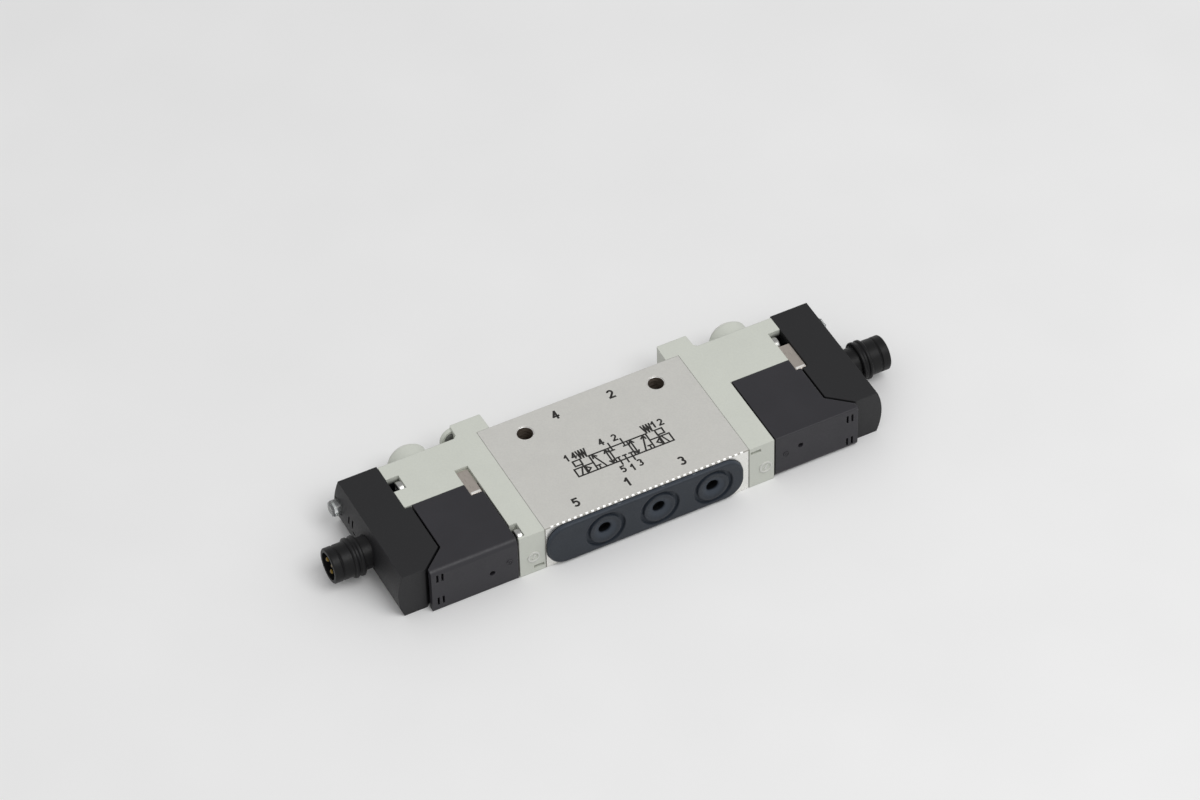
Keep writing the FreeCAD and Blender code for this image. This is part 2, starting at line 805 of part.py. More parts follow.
def make_end_seal(side):
    """Flat ring that seals the piston chamber between the body and the pilot housing."""
    inner = size("end_seal_inner_radius")
    piece = Piece("end_seal", side, (-half_length, ZERO, middle))
    length = size("end_seal_thickness") + seam - size("seal_clearance")
    outer = inner + size("end_seal_width")
    piece.turn(X_AXIS, [(-length, inner + seam / 2), (-length, outer - seam / 2),
                        (ZERO, outer - seam / 2), (ZERO, inner + seam / 2)])


def make_pilot_housing(side):
    """Moulded pilot housing: collar against the body, arm beside the solenoid, lug and boss."""
    piece = Piece("pilot_housing", side)
    body_far = half_width + seam
    root = size("lug_root")
    # Plan outline, counter-clockwise from the collar's near inner corner.
    piece.pad(XY, ZERO, thickness, outline([
        (-collar_inner, -half_width), (-collar_inner, body_far), (-lug_inner, body_far),
        (-lug_inner - size("lug_flank"), lug_top), (-lug_outer + size("lug_flank"), lug_top),
        (-lug_outer, far_edge + root), (-lug_outer - root, far_edge),
        (-housing_end, far_edge), (-housing_end, housing_gap),
        (-collar_outer, housing_gap), (-collar_outer, -half_width)]))
    upright = FreeCAD.Vector(0, 0, 1)

    def soft_corner(point):
        on_lug = point.y > lug_top.value - 0.01
        on_end = point.x < -housing_end.value + 0.01
        return on_lug or on_end

    edges = piece.straight_edges(upright, soft_corner)
    piece.dress("Fillet", edges, size("housing_edge_round"))

    # Boss of the override button.
    piece.pad(XZ, far_edge - join, boss_end, circle(-override_x, middle, size("boss_radius")))

    # Hoop on the label half of the lug's outer flank: a plate with round corners and a window.
    hoop_high = lug_top - size("hoop_drop")
    hoop_low = hoop_high - size("hoop_thickness")
    hoop_top = thickness - size("hoop_face_inset")
    hoop_bottom = hoop_top - size("hoop_span")
    hoop_corner = size("hoop_corner_radius")
    piece.pad(XZ, hoop_low, hoop_high, rounded_box(
        -hoop_end, -hoop_end + hoop_corner * 2 + clearance, hoop_bottom, hoop_top, hoop_corner))
    window_end = -hoop_end + size("hoop_wall")
    window_bend = -lug_outer - clearance
    bend = window_bend - window_end
    window_low = hoop_bottom + size("hoop_wall")
    window_high = hoop_top - size("hoop_wall")
    piece.cut(XZ, hoop_low, hoop_high, outline(
        [(-lug_outer, window_high), (window_bend, window_high), (window_end, window_high - bend),
         (window_end, window_low + bend), (window_bend, window_low), (-lug_outer, window_low)],
        {1: window_bend, 3: window_bend}))

    # Piston chamber and the seat of the end seal in the collar's inner face.
    piece.cut(YZ, -piston_floor, -collar_inner, circle(ZERO, middle, size("piston_bore_radius")))
    seal_inner = size("end_seal_inner_radius")
    seal_floor = half_length + size("end_seal_thickness") + seam
    piece.cut(YZ, -seal_floor, -collar_inner, together(
        circle(ZERO, middle, seal_inner + size("end_seal_width")),
        circle(ZERO, middle, seal_inner)))

    # Button bore, spring pocket and pin hole, one behind the other along Y.
    piece.cut(XZ, button_floor, boss_end,
              circle(-override_x, middle, size("button_radius") + clearance))
    piece.cut(XZ, pocket_floor, button_floor,
              circle(-override_x, middle, size("spring_pocket_radius")))
    piece.cut(XZ, housing_gap, pocket_floor,
              circle(-override_x, middle, size("button_pin_radius") + clearance * 2))

    # Groove of the seal between this housing and the solenoid.
    ring_inner = size("interface_seal_radius")
    ring_outer = ring_inner + size("interface_seal_width")
    piece.cut(XZ, housing_gap, housing_gap + size("interface_seal_thickness"), together(
        circle(-override_x, middle, ring_outer), circle(-override_x, middle, ring_inner)))

    # Notch for the heads of the two long screws and their holes.
    half_notch = size("screw_notch_width") / 2
    piece.cut(XY, ZERO, thickness, box(
        -housing_end, -notch_inner, screw_line - half_notch, screw_line + half_notch))
    drill = size("screw_radius") + size("screw_hole_clearance")
    holes = [circle(screw_line, level, drill) for level in screw_levels]
    piece.cut(YZ, -notch_inner, -collar_inner, together(*holes))

    # Pocket and hole of the collar screw at the near corner of the label side.
    level = screw_levels[1]
    place = -collar_screw_line
    piece.cut(YZ, -collar_outer, -collar_seat, outline(
        [(place - half_notch, level), (place + half_notch, level),
         (place + half_notch, thickness), (place - half_notch, thickness)]))
    piece.cut(YZ, -collar_outer, -collar_seat, circle(place, level, half_notch))
    piece.cut(YZ, -collar_seat, -collar_inner, circle(place, level, drill))

    # Shallow recesses and leg slots of the two retaining clips.
    gap = seam * 2
    for edge, end, low, high, leg_from, leg_to in clip_levels():
        leg_low = end - size("clip_thickness") - gap
        inner = -edge + gap
        outer = -edge - size("clip_width") - gap
        inner_edge = -collar_outer if edge is label_clip_edge else inner
        piece.cut(XY, low, high, box(outer, inner_edge, housing_gap, end + gap * 2))
        piece.cut(XY, leg_from, leg_to, box(outer, inner, leg_low, end + gap))

    # Moulding slot near the seam on the collar's near face.
    slot_start = half_length + size("collar_slot_inset")
    slot_low = size("collar_slot_low")
    piece.cut(XZ, -half_width, -half_width + size("collar_slot_depth"), box(
        -slot_start - size("collar_slot_length"), -slot_start,
        slot_low, slot_low + size("collar_slot_height")))


def clip_levels():
    """For both clips: edge, end, recess low and high, leg slot low and high."""
    recess = size("clip_recess")
    deep = recess + size("clip_leg")
    gap = seam * 2
    return [
        (label_clip_edge, label_clip_end, thickness - recess, thickness,
         thickness - deep - gap, thickness - recess),
        (back_clip_edge, back_clip_end, ZERO, recess, recess, deep + gap),
    ]


def make_end_module_screws(side):
    """Two long screws through the housing arm and one short screw in the collar corner."""
    head = size("screw_head_radius")
    head_length = size("screw_head_length")
    rounding = size("screw_head_round")
    shank = size("screw_radius")
    drive = size("screw_drive_radius")
    drive_depth = size("screw_drive_depth")

    def section(length):
        return [(-head_length, drive), (-head_length, head - rounding),
                (-head_length + rounding, head), (ZERO, head), (ZERO, shank),
                (length - shank, shank), (length, shank * 0.4), (length, ZERO),
                (-head_length + drive_depth, ZERO), (-head_length + drive_depth, drive)]

    long_screws = Piece("housing_screws", side, (-notch_inner, screw_line, screw_levels[0]))
    long_screws.turn(X_AXIS, section(notch_inner - screw_reach))
    long_screws.pattern("Z_Axis", screw_levels[1] - screw_levels[0], 2)

    short = Piece("collar_screw", side, (-collar_seat, -collar_screw_line, screw_levels[1]))
    short.turn(X_AXIS, section(collar_seat - screw_reach))


def make_override(side):
    """Manual override: button with a slot and a push pin, its sealing ring and its spring."""
    radius = size("button_radius")
    groove = radius - size("button_groove_depth")
    pin_radius = size("button_pin_radius")
    length = size("button_length")
    rounding = size("button_edge_round")
    half_ring = size("seal_width") / 2
    ring_place = length / 2
    button = Piece("override_button", side, (-override_x, button_inner, middle))
    pin_end = button_inner - pin_tip
    button.turn(Y_AXIS, [
        (-pin_end, ZERO), (-pin_end, pin_radius), (ZERO, pin_radius), (ZERO, radius),
        (ring_place - half_ring, radius), (ring_place - half_ring, groove),
        (ring_place + half_ring, groove), (ring_place + half_ring, radius),
        (length - rounding, radius), (length, radius - rounding), (length, ZERO)])
    half_slot = size("button_slot_width") / 2
    half_run = size("button_slot_length") / 2
    button.cut(XZ, length - size("button_slot_depth"), length,
               box(-half_run, half_run, -half_slot, half_slot))

    seal_gap = size("seal_clearance")
    ring = Piece("override_seal", side, (-override_x, button_inner + ring_place, middle))
    ring.turn(Y_AXIS, seal_section(ZERO, half_ring - seal_gap, groove + seal_gap,
                                   radius + clearance - seal_gap))

    spring = Piece("override_spring", side, (-override_x, pocket_floor, middle))
    wire = size("button_pin_radius") / 4
    mean = (pin_radius + size("spring_pocket_radius")) / 2
    spring.spring(Y_AXIS, seam, button_inner - pocket_floor - seam * 2, mean, wire, 4)


def make_interface_seal(side):
    """Ring that seals the pilot nozzle between the housing and the solenoid."""
    inner = size("interface_seal_radius") + seam / 2
    outer = size("interface_seal_radius") + size("interface_seal_width") - seam / 2
    length = size("interface_seal_thickness") + seam - size("seal_clearance")
    piece = Piece("interface_seal", side, (-override_x, case_top, middle))
    piece.turn(Y_AXIS, [(ZERO, inner), (ZERO, outer), (length, outer), (length, inner)])


def make_solenoid_case(side):
    """Moulded solenoid case around the coil, bevelled towards the connection box."""
    piece = Piece("solenoid_case", side)
    piece.pad(XY, ZERO, thickness, outline([
        (-case_inner, case_top), (-case_outer, case_top), (-case_outer, -bevel_start),
        (-case_near_end, -bevel_end), (-case_near_end, -half_width),
        (-case_inner, -half_width)]))
    along = FreeCAD.Vector(1, 0, 0)
    near = -half_width.value
    label_edge = piece.straight_edges(along, lambda p: p.y < near + 0.01 and p.z > middle.value)
    piece.dress("Fillet", label_edge, size("solenoid_label_round"))
    back_edge = piece.straight_edges(along, lambda p: p.y < near + 0.01 and p.z < middle.value)
    piece.dress("Fillet", back_edge, size("solenoid_back_round"))

    # Coil cavity, open towards the pilot housing.
    piece.cut(XZ, -coil_floor, case_top, circle(-override_x, middle, coil_radius))

    # Terminal holes towards the connection box.
    hole = size("terminal_radius") + clearance
    places = (size("terminal_near"), size("terminal_far"))
    piece.cut(YZ, -case_outer, -override_x - coil_radius + join, together(
        *[circle(-place, terminal_level, hole) for place in places]))

    # Moulding marks of the near face: a gate hole and two pairs of latch slots.
    half_slot = size("near_slot_width") / 2
    piece.cut(XZ, -half_width, -half_width + size("gate_hole_depth"), circle(
        -override_x + size("gate_hole_inset"), middle - size("gate_hole_drop"),
        size("gate_hole_radius")))
    slots = []
    outer_slot = case_near_end - size("near_slot_inset")
    for level in (middle - size("near_slot_drop"), middle + size("near_slot_rise")):
        for place in (outer_slot, outer_slot - size("near_slot_pitch")):
            slots.append(box(-place - half_slot, -place + half_slot,
                             level - size("near_slot_height") / 2,
                             level + size("near_slot_height") / 2))
    piece.cut(XZ, -half_width, -half_width + size("near_slot_depth"), together(*slots))

    # Clip recesses at the edge shared with the pilot housing.
    gap = seam * 2
    low_edge = clip_start - gap
    clip = size("clip_width")
    lip_depth = size("clip_recess") + size("clip_lip")
    label_x = (-label_clip_edge - clip - gap, -case_inner)
    back_x = (-case_outer, -back_clip_edge + gap)
    piece.cut(XY, thickness - size("clip_recess"), thickness,
              box(label_x[0], label_x[1], low_edge, case_top))
    piece.cut(XY, ZERO, size("clip_recess"), box(back_x[0], back_x[1], low_edge, case_top))
    lip = low_edge + size("clip_thickness") + gap * 2
    piece.cut(XY, thickness - lip_depth, thickness - size("clip_recess"),
              box(label_x[0], label_x[1], low_edge, lip))
    piece.cut(XY, size("clip_recess"), lip_depth, box(back_x[0], back_x[1], low_edge, lip))


def make_clips(side):
    """Two bent sheet-metal clips that join the solenoid case and the pilot housing."""
    for name, edge, end, up in (
            ("label_side_clip", label_clip_edge, label_clip_end, True),
            ("back_side_clip", back_clip_edge, back_clip_end, False)):
        base = thickness if up else ZERO
        piece = Piece(name, side, (-edge - size("clip_width"), clip_start, base))
        sign = -1 if up else 1
        sheet_thickness = size("clip_thickness")
        top = (size("clip_recess") - sheet_thickness - seam) * sign
        under = (size("clip_recess") - seam) * sign
        lip_end = (size("clip_recess") + size("clip_lip") - seam) * sign
        leg_end = (size("clip_recess") + size("clip_leg") - seam) * sign
        length = end - clip_start
        piece.pad(YZ, ZERO, size("clip_width"), outline([
            (ZERO, lip_end), (ZERO, top), (length, top), (length, leg_end),
            (length - sheet_thickness, leg_end), (length - sheet_thickness, under),
            (sheet_thickness, under), (sheet_thickness, lip_end)]))
        along = FreeCAD.Vector(1, 0, 0)
        bends = piece.straight_edges(along, lambda p: abs(p.z - top.value) < 1e-4)
        piece.dress("Fillet", bends, sheet_thickness * 0.9)


def make_coil(side):
    """Bobbin, copper winding, fixed core, armature with its seat disc and return spring."""
    wall = size("coil_wall_clearance")
    inner = size("bobbin_bore_radius")
    tube = inner + size("bobbin_wall")
    flange = coil_radius - wall
    flange_length = size("bobbin_flange")
    bobbin = Piece("coil_bobbin", side, (-override_x, ZERO, middle))
    bobbin.turn(Y_AXIS, [
        (case_top, inner), (case_top, flange), (case_top - flange_length, flange),
        (case_top - flange_length, tube), (bobbin_bottom + flange_length, tube),
        (bobbin_bottom + flange_length, flange), (bobbin_bottom, flange),
        (bobbin_bottom, inner)])

    winding = Piece("coil_winding", side, (-override_x, ZERO, middle))
    low = bobbin_bottom + flange_length + seam
    high = case_top - flange_length - seam
    winding.turn(Y_AXIS, [(low, tube + seam / 2), (low, flange - wall), (high, flange - wall),
                          (high, tube + seam / 2)])

    core = Piece("fixed_core", side, (-override_x, core_bottom, middle))
    core_radius = inner - seam / 2
    pocket = size("core_pocket_radius")
    pocket_bottom = core_length - size("core_pocket_depth")
    core_flange = size("bobbin_wall") - seam
    core.turn(Y_AXIS, [(ZERO, ZERO), (ZERO, tube), (core_flange, tube),
                       (core_flange, core_radius), (core_length, core_radius),
                       (core_length, pocket), (pocket_bottom, pocket), (pocket_bottom, ZERO)])

    armature = Piece("armature", side, (-override_x, armature_bottom, middle))
    armature_radius = inner - clearance
    armature_length = size("armature_length")
    disc = size("seat_disc_radius")
    armature.turn(Y_AXIS, [(ZERO, ZERO), (ZERO, armature_radius - seam * 3),
                           (seam * 3, armature_radius), (armature_length, armature_radius),
                           (armature_length, ZERO)])

    seat = Piece("seat_disc", side, (-override_x, armature_top, middle))
    seat_length = size("seat_disc_thickness")
    seat.turn(Y_AXIS, [(ZERO, ZERO), (ZERO, disc), (seat_length - seam, disc),
                       (seat_length, disc - seam), (seat_length, ZERO)])

    spring = Piece("armature_spring", side, (-override_x, core_top - size("core_pocket_depth"),
                                             middle))
    length = armature_bottom - core_top + size("core_pocket_depth")
    spring.spring(Y_AXIS, seam, length - seam * 2, pocket * 0.7, pocket / 9, 4)


def make_connection_box(side):
    """Moulded box over the solenoid's outer end, hollow and open towards the terminals."""
    piece = Piece("connection_box", side)
    bulge = size("box_bulge")
    # The end wall is an arc over the thickness: chord and rise give the arc's centre.
    rise_radius = (middle * middle + bulge * bulge) / (bulge * 2)
    piece.pad(XZ, -box_near, box_far, outline(
        [(-box_end, thickness), (-box_end, ZERO), (-box_inner, ZERO), (-box_inner, thickness)],
        {0: rise_radius - plug_seat}))
    shoulder_line = housing_gap - size("part_gap")
    piece.cut(XY, ZERO, thickness, box(-box_shoulder, -box_inner, shoulder_line, box_far))
    # Bevel parallel to the solenoid's own bevel.
    slope = size("bevel_run") / (bevel_end - bevel_start)
    box_bevel_start = bevel_start - size("bevel_gap")
    bevel_x = box_inner + (box_near - box_bevel_start) * slope
    piece.cut(XY, ZERO, thickness, outline([
        (-box_inner, -box_near), (-box_inner, -box_bevel_start), (-bevel_x, -box_near)]))
    upright = FreeCAD.Vector(0, 0, 1)

    def bevel_corner(point):
        return point.y < -box_near.value + 0.01 and point.x > -bevel_x.value - 0.01

    piece.dress("Fillet", piece.straight_edges(upright, bevel_corner), size("box_edge_round"))

    # Cavity for the circuit board, open towards the terminals of the coil.
    wall = size("box_wall")
    piece.cut(XY, wall, thickness - wall, box(
        -cavity_end, -box_cavity_start, -box_cavity_near, box_far - wall))
    piece.cut(XY, wall, thickness - wall, box(
        -box_cavity_start, -box_inner, -size("box_mouth_low"), size("box_mouth_high")))

    # Windows in the end wall for the plug and the light pipe, and three shallow slots.
    piece.cut(YZ, -plug_seat, -cavity_end,
              circle(size("plug_line"), middle, size("plug_neck_radius") + clearance))
    piece.cut(YZ, -plug_seat, -board_end, box(
        pipe_low - seam, pipe_high + seam, pipe_bottom - seam, pipe_top + seam))
    half_width_of_slot = size("end_slot_width") / 2
    half_run = size("end_slot_length") / 2
    slots = []
    for name in ("outer_slot", "inner_slot"):
        place = box_far - size(name + "_inset")
        level = middle + size(name + "_lift")
        slots.append(box(place - half_width_of_slot, place + half_width_of_slot,
                         level - half_run, level + half_run))
    place = box_far - size("cross_slot_inset")
    level = middle - size("cross_slot_drop")
    half_cross = size("cross_slot_length") / 2
    slots.append(box(place - half_cross, place + half_cross,
                     level - half_width_of_slot, level + half_width_of_slot))
    piece.cut(YZ, -plug_seat, -box_end, together(*slots))

    # Room for the clip of the back side.
    gap = seam * 2
    piece.cut(XY, ZERO, size("clip_recess") + size("clip_lip"), box(
        -box_shoulder, -box_inner, clip_start - gap, shoulder_line))


def make_box_contents(side):
    """Circuit board, light pipe, and the two terminals that reach in from the coil."""
    board = Piece("circuit_board", side)
    half_board = size("board_thickness") / 2
    board.pad(XY, middle - half_board, middle + half_board, box(
        -board_end, -board_start, -box_cavity_near + clearance,
        box_far - size("box_wall") - clearance))

    pipe = Piece("light_pipe", side)
    reach = plug_seat + size("light_pipe_length")
    pipe.pad(YZ, -reach, -board_end - seam, box(pipe_low, pipe_high, pipe_bottom, pipe_top))
    edges = []
    for number, edge in enumerate(pipe.body.Tip.Shape.Edges, start=1):
        if abs(edge.CenterOfMass.x + reach.value) < 1e-4:
            edges.append("Edge%d" % number)
    pipe.dress("Fillet", edges, size("light_pipe_round"))

    pins = Piece("terminal_pins", side)
    places = (size("terminal_near"), size("terminal_far"))
    pins.pad(YZ, -board_start - size("terminal_lap"), -override_x - coil_radius, together(
        *[circle(-place, terminal_level, size("terminal_radius")) for place in places]))


def make_plug(side):
    """Round plug: shell with two sealing ribs, contact carrier and three contact pins."""
    at = (-plug_seat, size("plug_line"), middle)
    inner_end = plug_seat - cavity_end
    flange = size("plug_flange")
    radius = size("plug_radius")
    neck = size("plug_neck_radius")
    rib = size("plug_rib_radius")
    valley = size("plug_valley_radius")
    rib_start = size("plug_rib_start")
    rib_width = size("plug_rib_width")
    rib_gap = size("plug_rib_gap")
    length = size("plug_length")
    bore = radius - size("plug_wall")
    groove = radius - size("plug_groove_depth")
    groove_start = size("plug_groove_start")
    groove_end = groove_start + size("plug_groove_width")
    second = rib_start + rib_width + rib_gap
    shell = Piece("plug_shell", side, at)
    rounding = size("plug_end_round")
    ease = size("plug_rib_ease")
    section = [(inner_end + flange, bore), (inner_end + flange, size("plug_flange_radius")),
               (inner_end, size("plug_flange_radius")), (inner_end, neck)]
    for start, before, after in ((rib_start, neck, valley), (second, valley, radius)):
        section += [(-start, before), (-start, rib - ease), (-start - ease, rib),
                    (-start - rib_width + ease, rib), (-start - rib_width, rib - ease),
                    (-start - rib_width, after)]
    section += [(-groove_start, radius), (-groove_start - ease, groove),
                (-groove_end + ease, groove), (-groove_end, radius),
                (-length + rounding, radius), (-length, radius - rounding), (-length, bore)]
    shell.turn(X_AXIS, section)

    carrier = Piece("plug_insert", side, at)
    carrier_face = length - size("plug_recess")
    carrier.turn(X_AXIS, [(inner_end + flange, ZERO), (inner_end + flange, bore - seam / 2),
                          (-carrier_face, bore - seam / 2), (-carrier_face, ZERO)])
    angles = [math.radians(step * 120 + 17) for step in range(3)]
    ring = size("contact_circle")
    hole = size("contact_radius") + seam / 2
    carrier.cut(YZ, -carrier_face, inner_end + flange, together(
        *[circle(ring * math.cos(a), ring * math.sin(a), hole) for a in angles]))

    pins = Piece("contact_pins", side, at)
    pins.pad(YZ, -carrier_face - size("contact_reach"), inner_end + flange + clearance, together(
        *[circle(ring * math.cos(a), ring * math.sin(a), size("contact_radius"))
          for a in angles]))
    tip = (-carrier_face - size("contact_reach")).value
    tips = pins.round_edges(size("contact_radius"), lambda edge: edge.CenterOfMass.x < tip + 0.01)
    pins.dress("Chamfer", tips, size("contact_chamfer"))


def main():
    make_valve_body()
    make_port_gasket()
    make_spool()
    make_spool_seals()
    for side in ("left", "right"):
        make_piston(side)
        make_centring_spring(side)
        make_end_seal(side)
        make_pilot_housing(side)
        make_end_module_screws(side)
        make_override(side)
        make_interface_seal(side)
        make_solenoid_case(side)
        make_clips(side)
        make_coil(side)
        make_connection_box(side)
        make_box_contents(side)
        make_plug(side)
    doc.recompute()

    for entry in doc.Objects:
        if "Invalid" in entry.State or "Error" in entry.State:
            raise ValueError("%s failed" % entry.Name)
    for body in pieces:
        if body.Shape.isNull() or not body.Shape.isValid():
            raise ValueError("%s has no valid shape" % body.Label)

    os.makedirs("parts", exist_ok=True)
    for body in pieces:
        body.Shape.exportStep("parts/%s.step" % body.Label)
    print("%d pieces written" % len(pieces))


main()
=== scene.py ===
import json
import math

import bmesh
import bpy
from mathutils import Matrix, Vector
from mathutils.bvhtree import BVHTree


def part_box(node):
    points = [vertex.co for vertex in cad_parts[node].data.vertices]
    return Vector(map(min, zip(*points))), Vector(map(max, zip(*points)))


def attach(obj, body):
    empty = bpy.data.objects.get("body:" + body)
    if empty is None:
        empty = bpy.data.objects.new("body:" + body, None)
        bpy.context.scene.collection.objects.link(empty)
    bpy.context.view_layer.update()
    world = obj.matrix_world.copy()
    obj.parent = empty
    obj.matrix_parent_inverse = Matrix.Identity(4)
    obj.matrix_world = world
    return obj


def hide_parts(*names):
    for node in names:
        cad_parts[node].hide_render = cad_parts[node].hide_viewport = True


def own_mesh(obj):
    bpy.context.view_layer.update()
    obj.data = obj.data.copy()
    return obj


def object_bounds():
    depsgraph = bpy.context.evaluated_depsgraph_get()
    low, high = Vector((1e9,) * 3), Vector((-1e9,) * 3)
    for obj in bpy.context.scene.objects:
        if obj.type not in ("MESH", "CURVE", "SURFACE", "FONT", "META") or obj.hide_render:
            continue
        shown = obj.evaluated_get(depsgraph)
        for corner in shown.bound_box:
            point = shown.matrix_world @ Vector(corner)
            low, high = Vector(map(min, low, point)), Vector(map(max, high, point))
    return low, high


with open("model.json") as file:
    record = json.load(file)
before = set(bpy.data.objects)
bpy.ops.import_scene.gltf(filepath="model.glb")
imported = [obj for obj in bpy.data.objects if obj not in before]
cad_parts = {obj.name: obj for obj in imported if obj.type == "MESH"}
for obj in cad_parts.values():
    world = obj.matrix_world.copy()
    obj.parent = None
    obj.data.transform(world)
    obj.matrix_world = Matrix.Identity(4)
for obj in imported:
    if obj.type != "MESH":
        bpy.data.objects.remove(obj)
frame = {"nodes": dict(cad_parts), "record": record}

bl_info = {
    "name": "Pneumatic Solenoid Valve",
    "version": (1, 0, 0),
    "blender": (4, 5, 0),
    "location": "3D View > Sidebar > Valve",
    "description": "Finishes, printed marks and fine detail of a small double solenoid valve",
    "category": "Object",
}

CAD_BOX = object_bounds()
LEVEL = (CAD_BOX[0][2] + CAD_BOX[1][2]) / 2
NODES = frame["nodes"]
SLOTS = {item["node"]: item["material_slot"] for item in frame["record"]["subparts"]}
SIDES = ("left", "right")
MM = 0.001


def mm(value):
    """Millimetres as metres."""
    return value * MM


def linear(colour):
    """An sRGB hex colour such as "c6c4be" as a linear RGBA value."""
    parts = [int(colour[place:place + 2], 16) / 255 for place in (0, 2, 4)]
    return [part / 12.92 if part <= 0.04045 else ((part + 0.055) / 1.055) ** 2.4
            for part in parts] + [1.0]


# ---------------------------------------------------------------- sizes and colours

def length_property(name, description, default):
    """A length that the sidebar shows in the scene's unit; the default is in millimetres."""
    return bpy.props.FloatProperty(name=name, description=description, default=mm(default),
                                   min=0.0, unit="LENGTH", precision=6)


def colour_property(name, description, default):
    """A colour whose default is an sRGB hex value."""
    return bpy.props.FloatVectorProperty(name=name, description=description, subtype="COLOR",
                                         size=4, min=0.0, max=1.0, default=linear(default))


def level_property(name, description, default):
    """A level of light."""
    return bpy.props.FloatProperty(name=name, description=description, default=default, min=0.0)


def angle_property(name, description, default):
    """An angle in radians, which the sidebar shows in degrees."""
    return bpy.props.FloatProperty(name=name, description=description, default=default,
                                   subtype="ANGLE", precision=6)


class ValveColours(bpy.types.PropertyGroup):
    """Colours of the finishes."""
    aluminium: colour_property("Aluminium", "Clear anodised body", "dcdbd6")
    housing: colour_property("Housing", "Light grey end housings", "d0d3ca")
    button: colour_property("Button", "Manual override buttons", "d8d9d3")
    case: colour_property("Case", "Black solenoid cases", "2b2a2f")
    box: colour_property("Box", "Black connection boxes", "202022")
    plug: colour_property("Plug", "Black plugs", "19191a")
    gasket: colour_property("Gasket", "Blue-grey port gasket", "262c34")
    seal: colour_property("Seal", "Black sealing rings", "1c1c1c")
    clip: colour_property("Clip", "Stainless spring clips", "dad1c8")
    screw: colour_property("Screw", "Zinc plated screws", "d2d2cf")
    ink: colour_property("Ink", "Printed marks", "242220")
    copper: colour_property("Copper", "Enamelled winding wire", "b06a38")
    brass: colour_property("Brass", "Gold plated contacts", "75612f")
    laminate: colour_property("Laminate", "Solder mask of the circuit boards", "1f5a3a")


class ValveMarks(bpy.types.PropertyGroup):
    """Sizes of the marks printed on the body."""
    symbol_stroke: length_property("Symbol stroke", "Width of the symbol's lines", 0.34)
    port_stroke: length_property("Port stroke", "Width of the port numbers' lines", 0.43)
    label_stroke: length_property("Label stroke", "Width of the symbol numbers' lines", 0.35)
    film: length_property("Film", "Height of the ink film", 0.003)
    port_height: length_property("Port figure height", "Height of the port numbers", 2.2)
    label_height: length_property("Label height", "Height of the symbol's numbers", 1.75)


class ValveDetail(bpy.types.PropertyGroup):
    """Sizes of the fine detail."""
    nick_pitch: length_property("Nick pitch", "Spacing of the near edge's bright facets", 1.17)
    nick_length: length_property("Nick length", "Length of one bright facet", 0.62)
    nick_width: length_property("Nick width", "Width of one bright facet", 0.36)
    port_thread_pitch: length_property("Port thread pitch", "Pitch of the outlet threads", 0.8)
    port_thread_depth: length_property("Port thread depth", "Height of the outlet threads", 0.3)
    screw_pitch: length_property("Screw pitch", "Pitch of the screw threads", 0.35)
    screw_thread: length_property("Screw thread", "Height of the screw threads", 0.12)
    wire_width: length_property("Winding wire", "Diameter of the coils' wire", 0.24)
    window_rounding: length_property("Window rounding", "Edge rounding of the light windows", 1.25)
    edge_rounding: length_property("Edge rounding", "Rounding that moulded edges show", 0.18)


class ValveStage(bpy.types.PropertyGroup):
    """Floor, light and camera."""
    floor: colour_property("Floor", "Pale floor as the camera and a gloss see it", "f2f2f2")
    bounce: colour_property("Bounce", "Pale floor as it lights what stands on it", "cdcdcd")
    sky: level_property("Sky", "Level of the soft light all round", 0.6)
    ceiling: level_property("Ceiling", "Level that a gloss sees overhead", 0.4)
    key: level_property("Key", "Level of the light from the near side", 0.38)
    lens: bpy.props.FloatProperty(name="Lens", description="Focal length", default=150.0,
                                  subtype="DISTANCE_CAMERA")
    distance: length_property("Distance", "From the camera to the point it looks at", 931.18)
    azimuth: angle_property("Azimuth", "Camera's turn about Z", -0.457452)
    elevation: angle_property("Elevation", "Camera's height angle", 0.795744)
    roll: angle_property("Roll", "Camera's turn about its own line", -0.0273793)


GROUPS = {"valve_colours": ValveColours, "valve_marks": ValveMarks,
          "valve_detail": ValveDetail, "valve_stage": ValveStage}


# ---------------------------------------------------------------- material nodes

def add_node(tree, kind, settings=None, inputs=None, ramp=()):
    """Adds one node with its settings, its inputs as values or as what to link, and a ramp's
    stops. A node given as an input stands for its first output in use."""
    node = tree.nodes.new(kind)
    for name, value in (settings or {}).items():
        setattr(node, name, value)
    for place, (position, colour) in enumerate(ramp):
        node.color_ramp.elements[place].position = position
        node.color_ramp.elements[place].color = colour
    for key, value in (inputs or {}).items():
        if isinstance(value, bpy.types.Node):
            value = next(socket for socket in value.outputs if socket.enabled)
        if isinstance(value, bpy.types.NodeSocket):
            tree.links.new(value, node.inputs[key])
        else:
            node.inputs[key].default_value = value
    return node


def shade(colour, factor):
    """The same colour, lighter or darker."""
    return [min(1.0, part * factor) for part in colour[:3]] + [1.0]


def start_material(name, rounding=0.0):
    """An empty node material: its tree, the object coordinates, and a normal that turns round
    each edge as a real edge's small rounding does, where the finish has a rounding."""
    material = bpy.data.materials.new(name)
    material.use_nodes = True
    tree = material.node_tree
    tree.nodes.clear()
    place = add_node(tree, "ShaderNodeTexCoord").outputs["Object"]
    edges = None
    if rounding:
        width = bpy.context.scene.valve_detail.edge_rounding * rounding
        edges = add_node(tree, "ShaderNodeBevel", {"samples": 6}, {"Radius": width})
    return material, tree, place, edges


def grain(tree, place, size_mm, detail=3.0, stretch=(1, 1, 1)):
    """A pattern of cells about size_mm across, longer along the axes with a small stretch."""
    turned = add_node(tree, "ShaderNodeMapping", inputs={"Vector": place, "Scale": stretch})
    return add_node(tree, "ShaderNodeTexNoise", inputs={
        "Vector": turned, "Scale": 1 / mm(size_mm), "Detail": detail, "Roughness": 0.55})


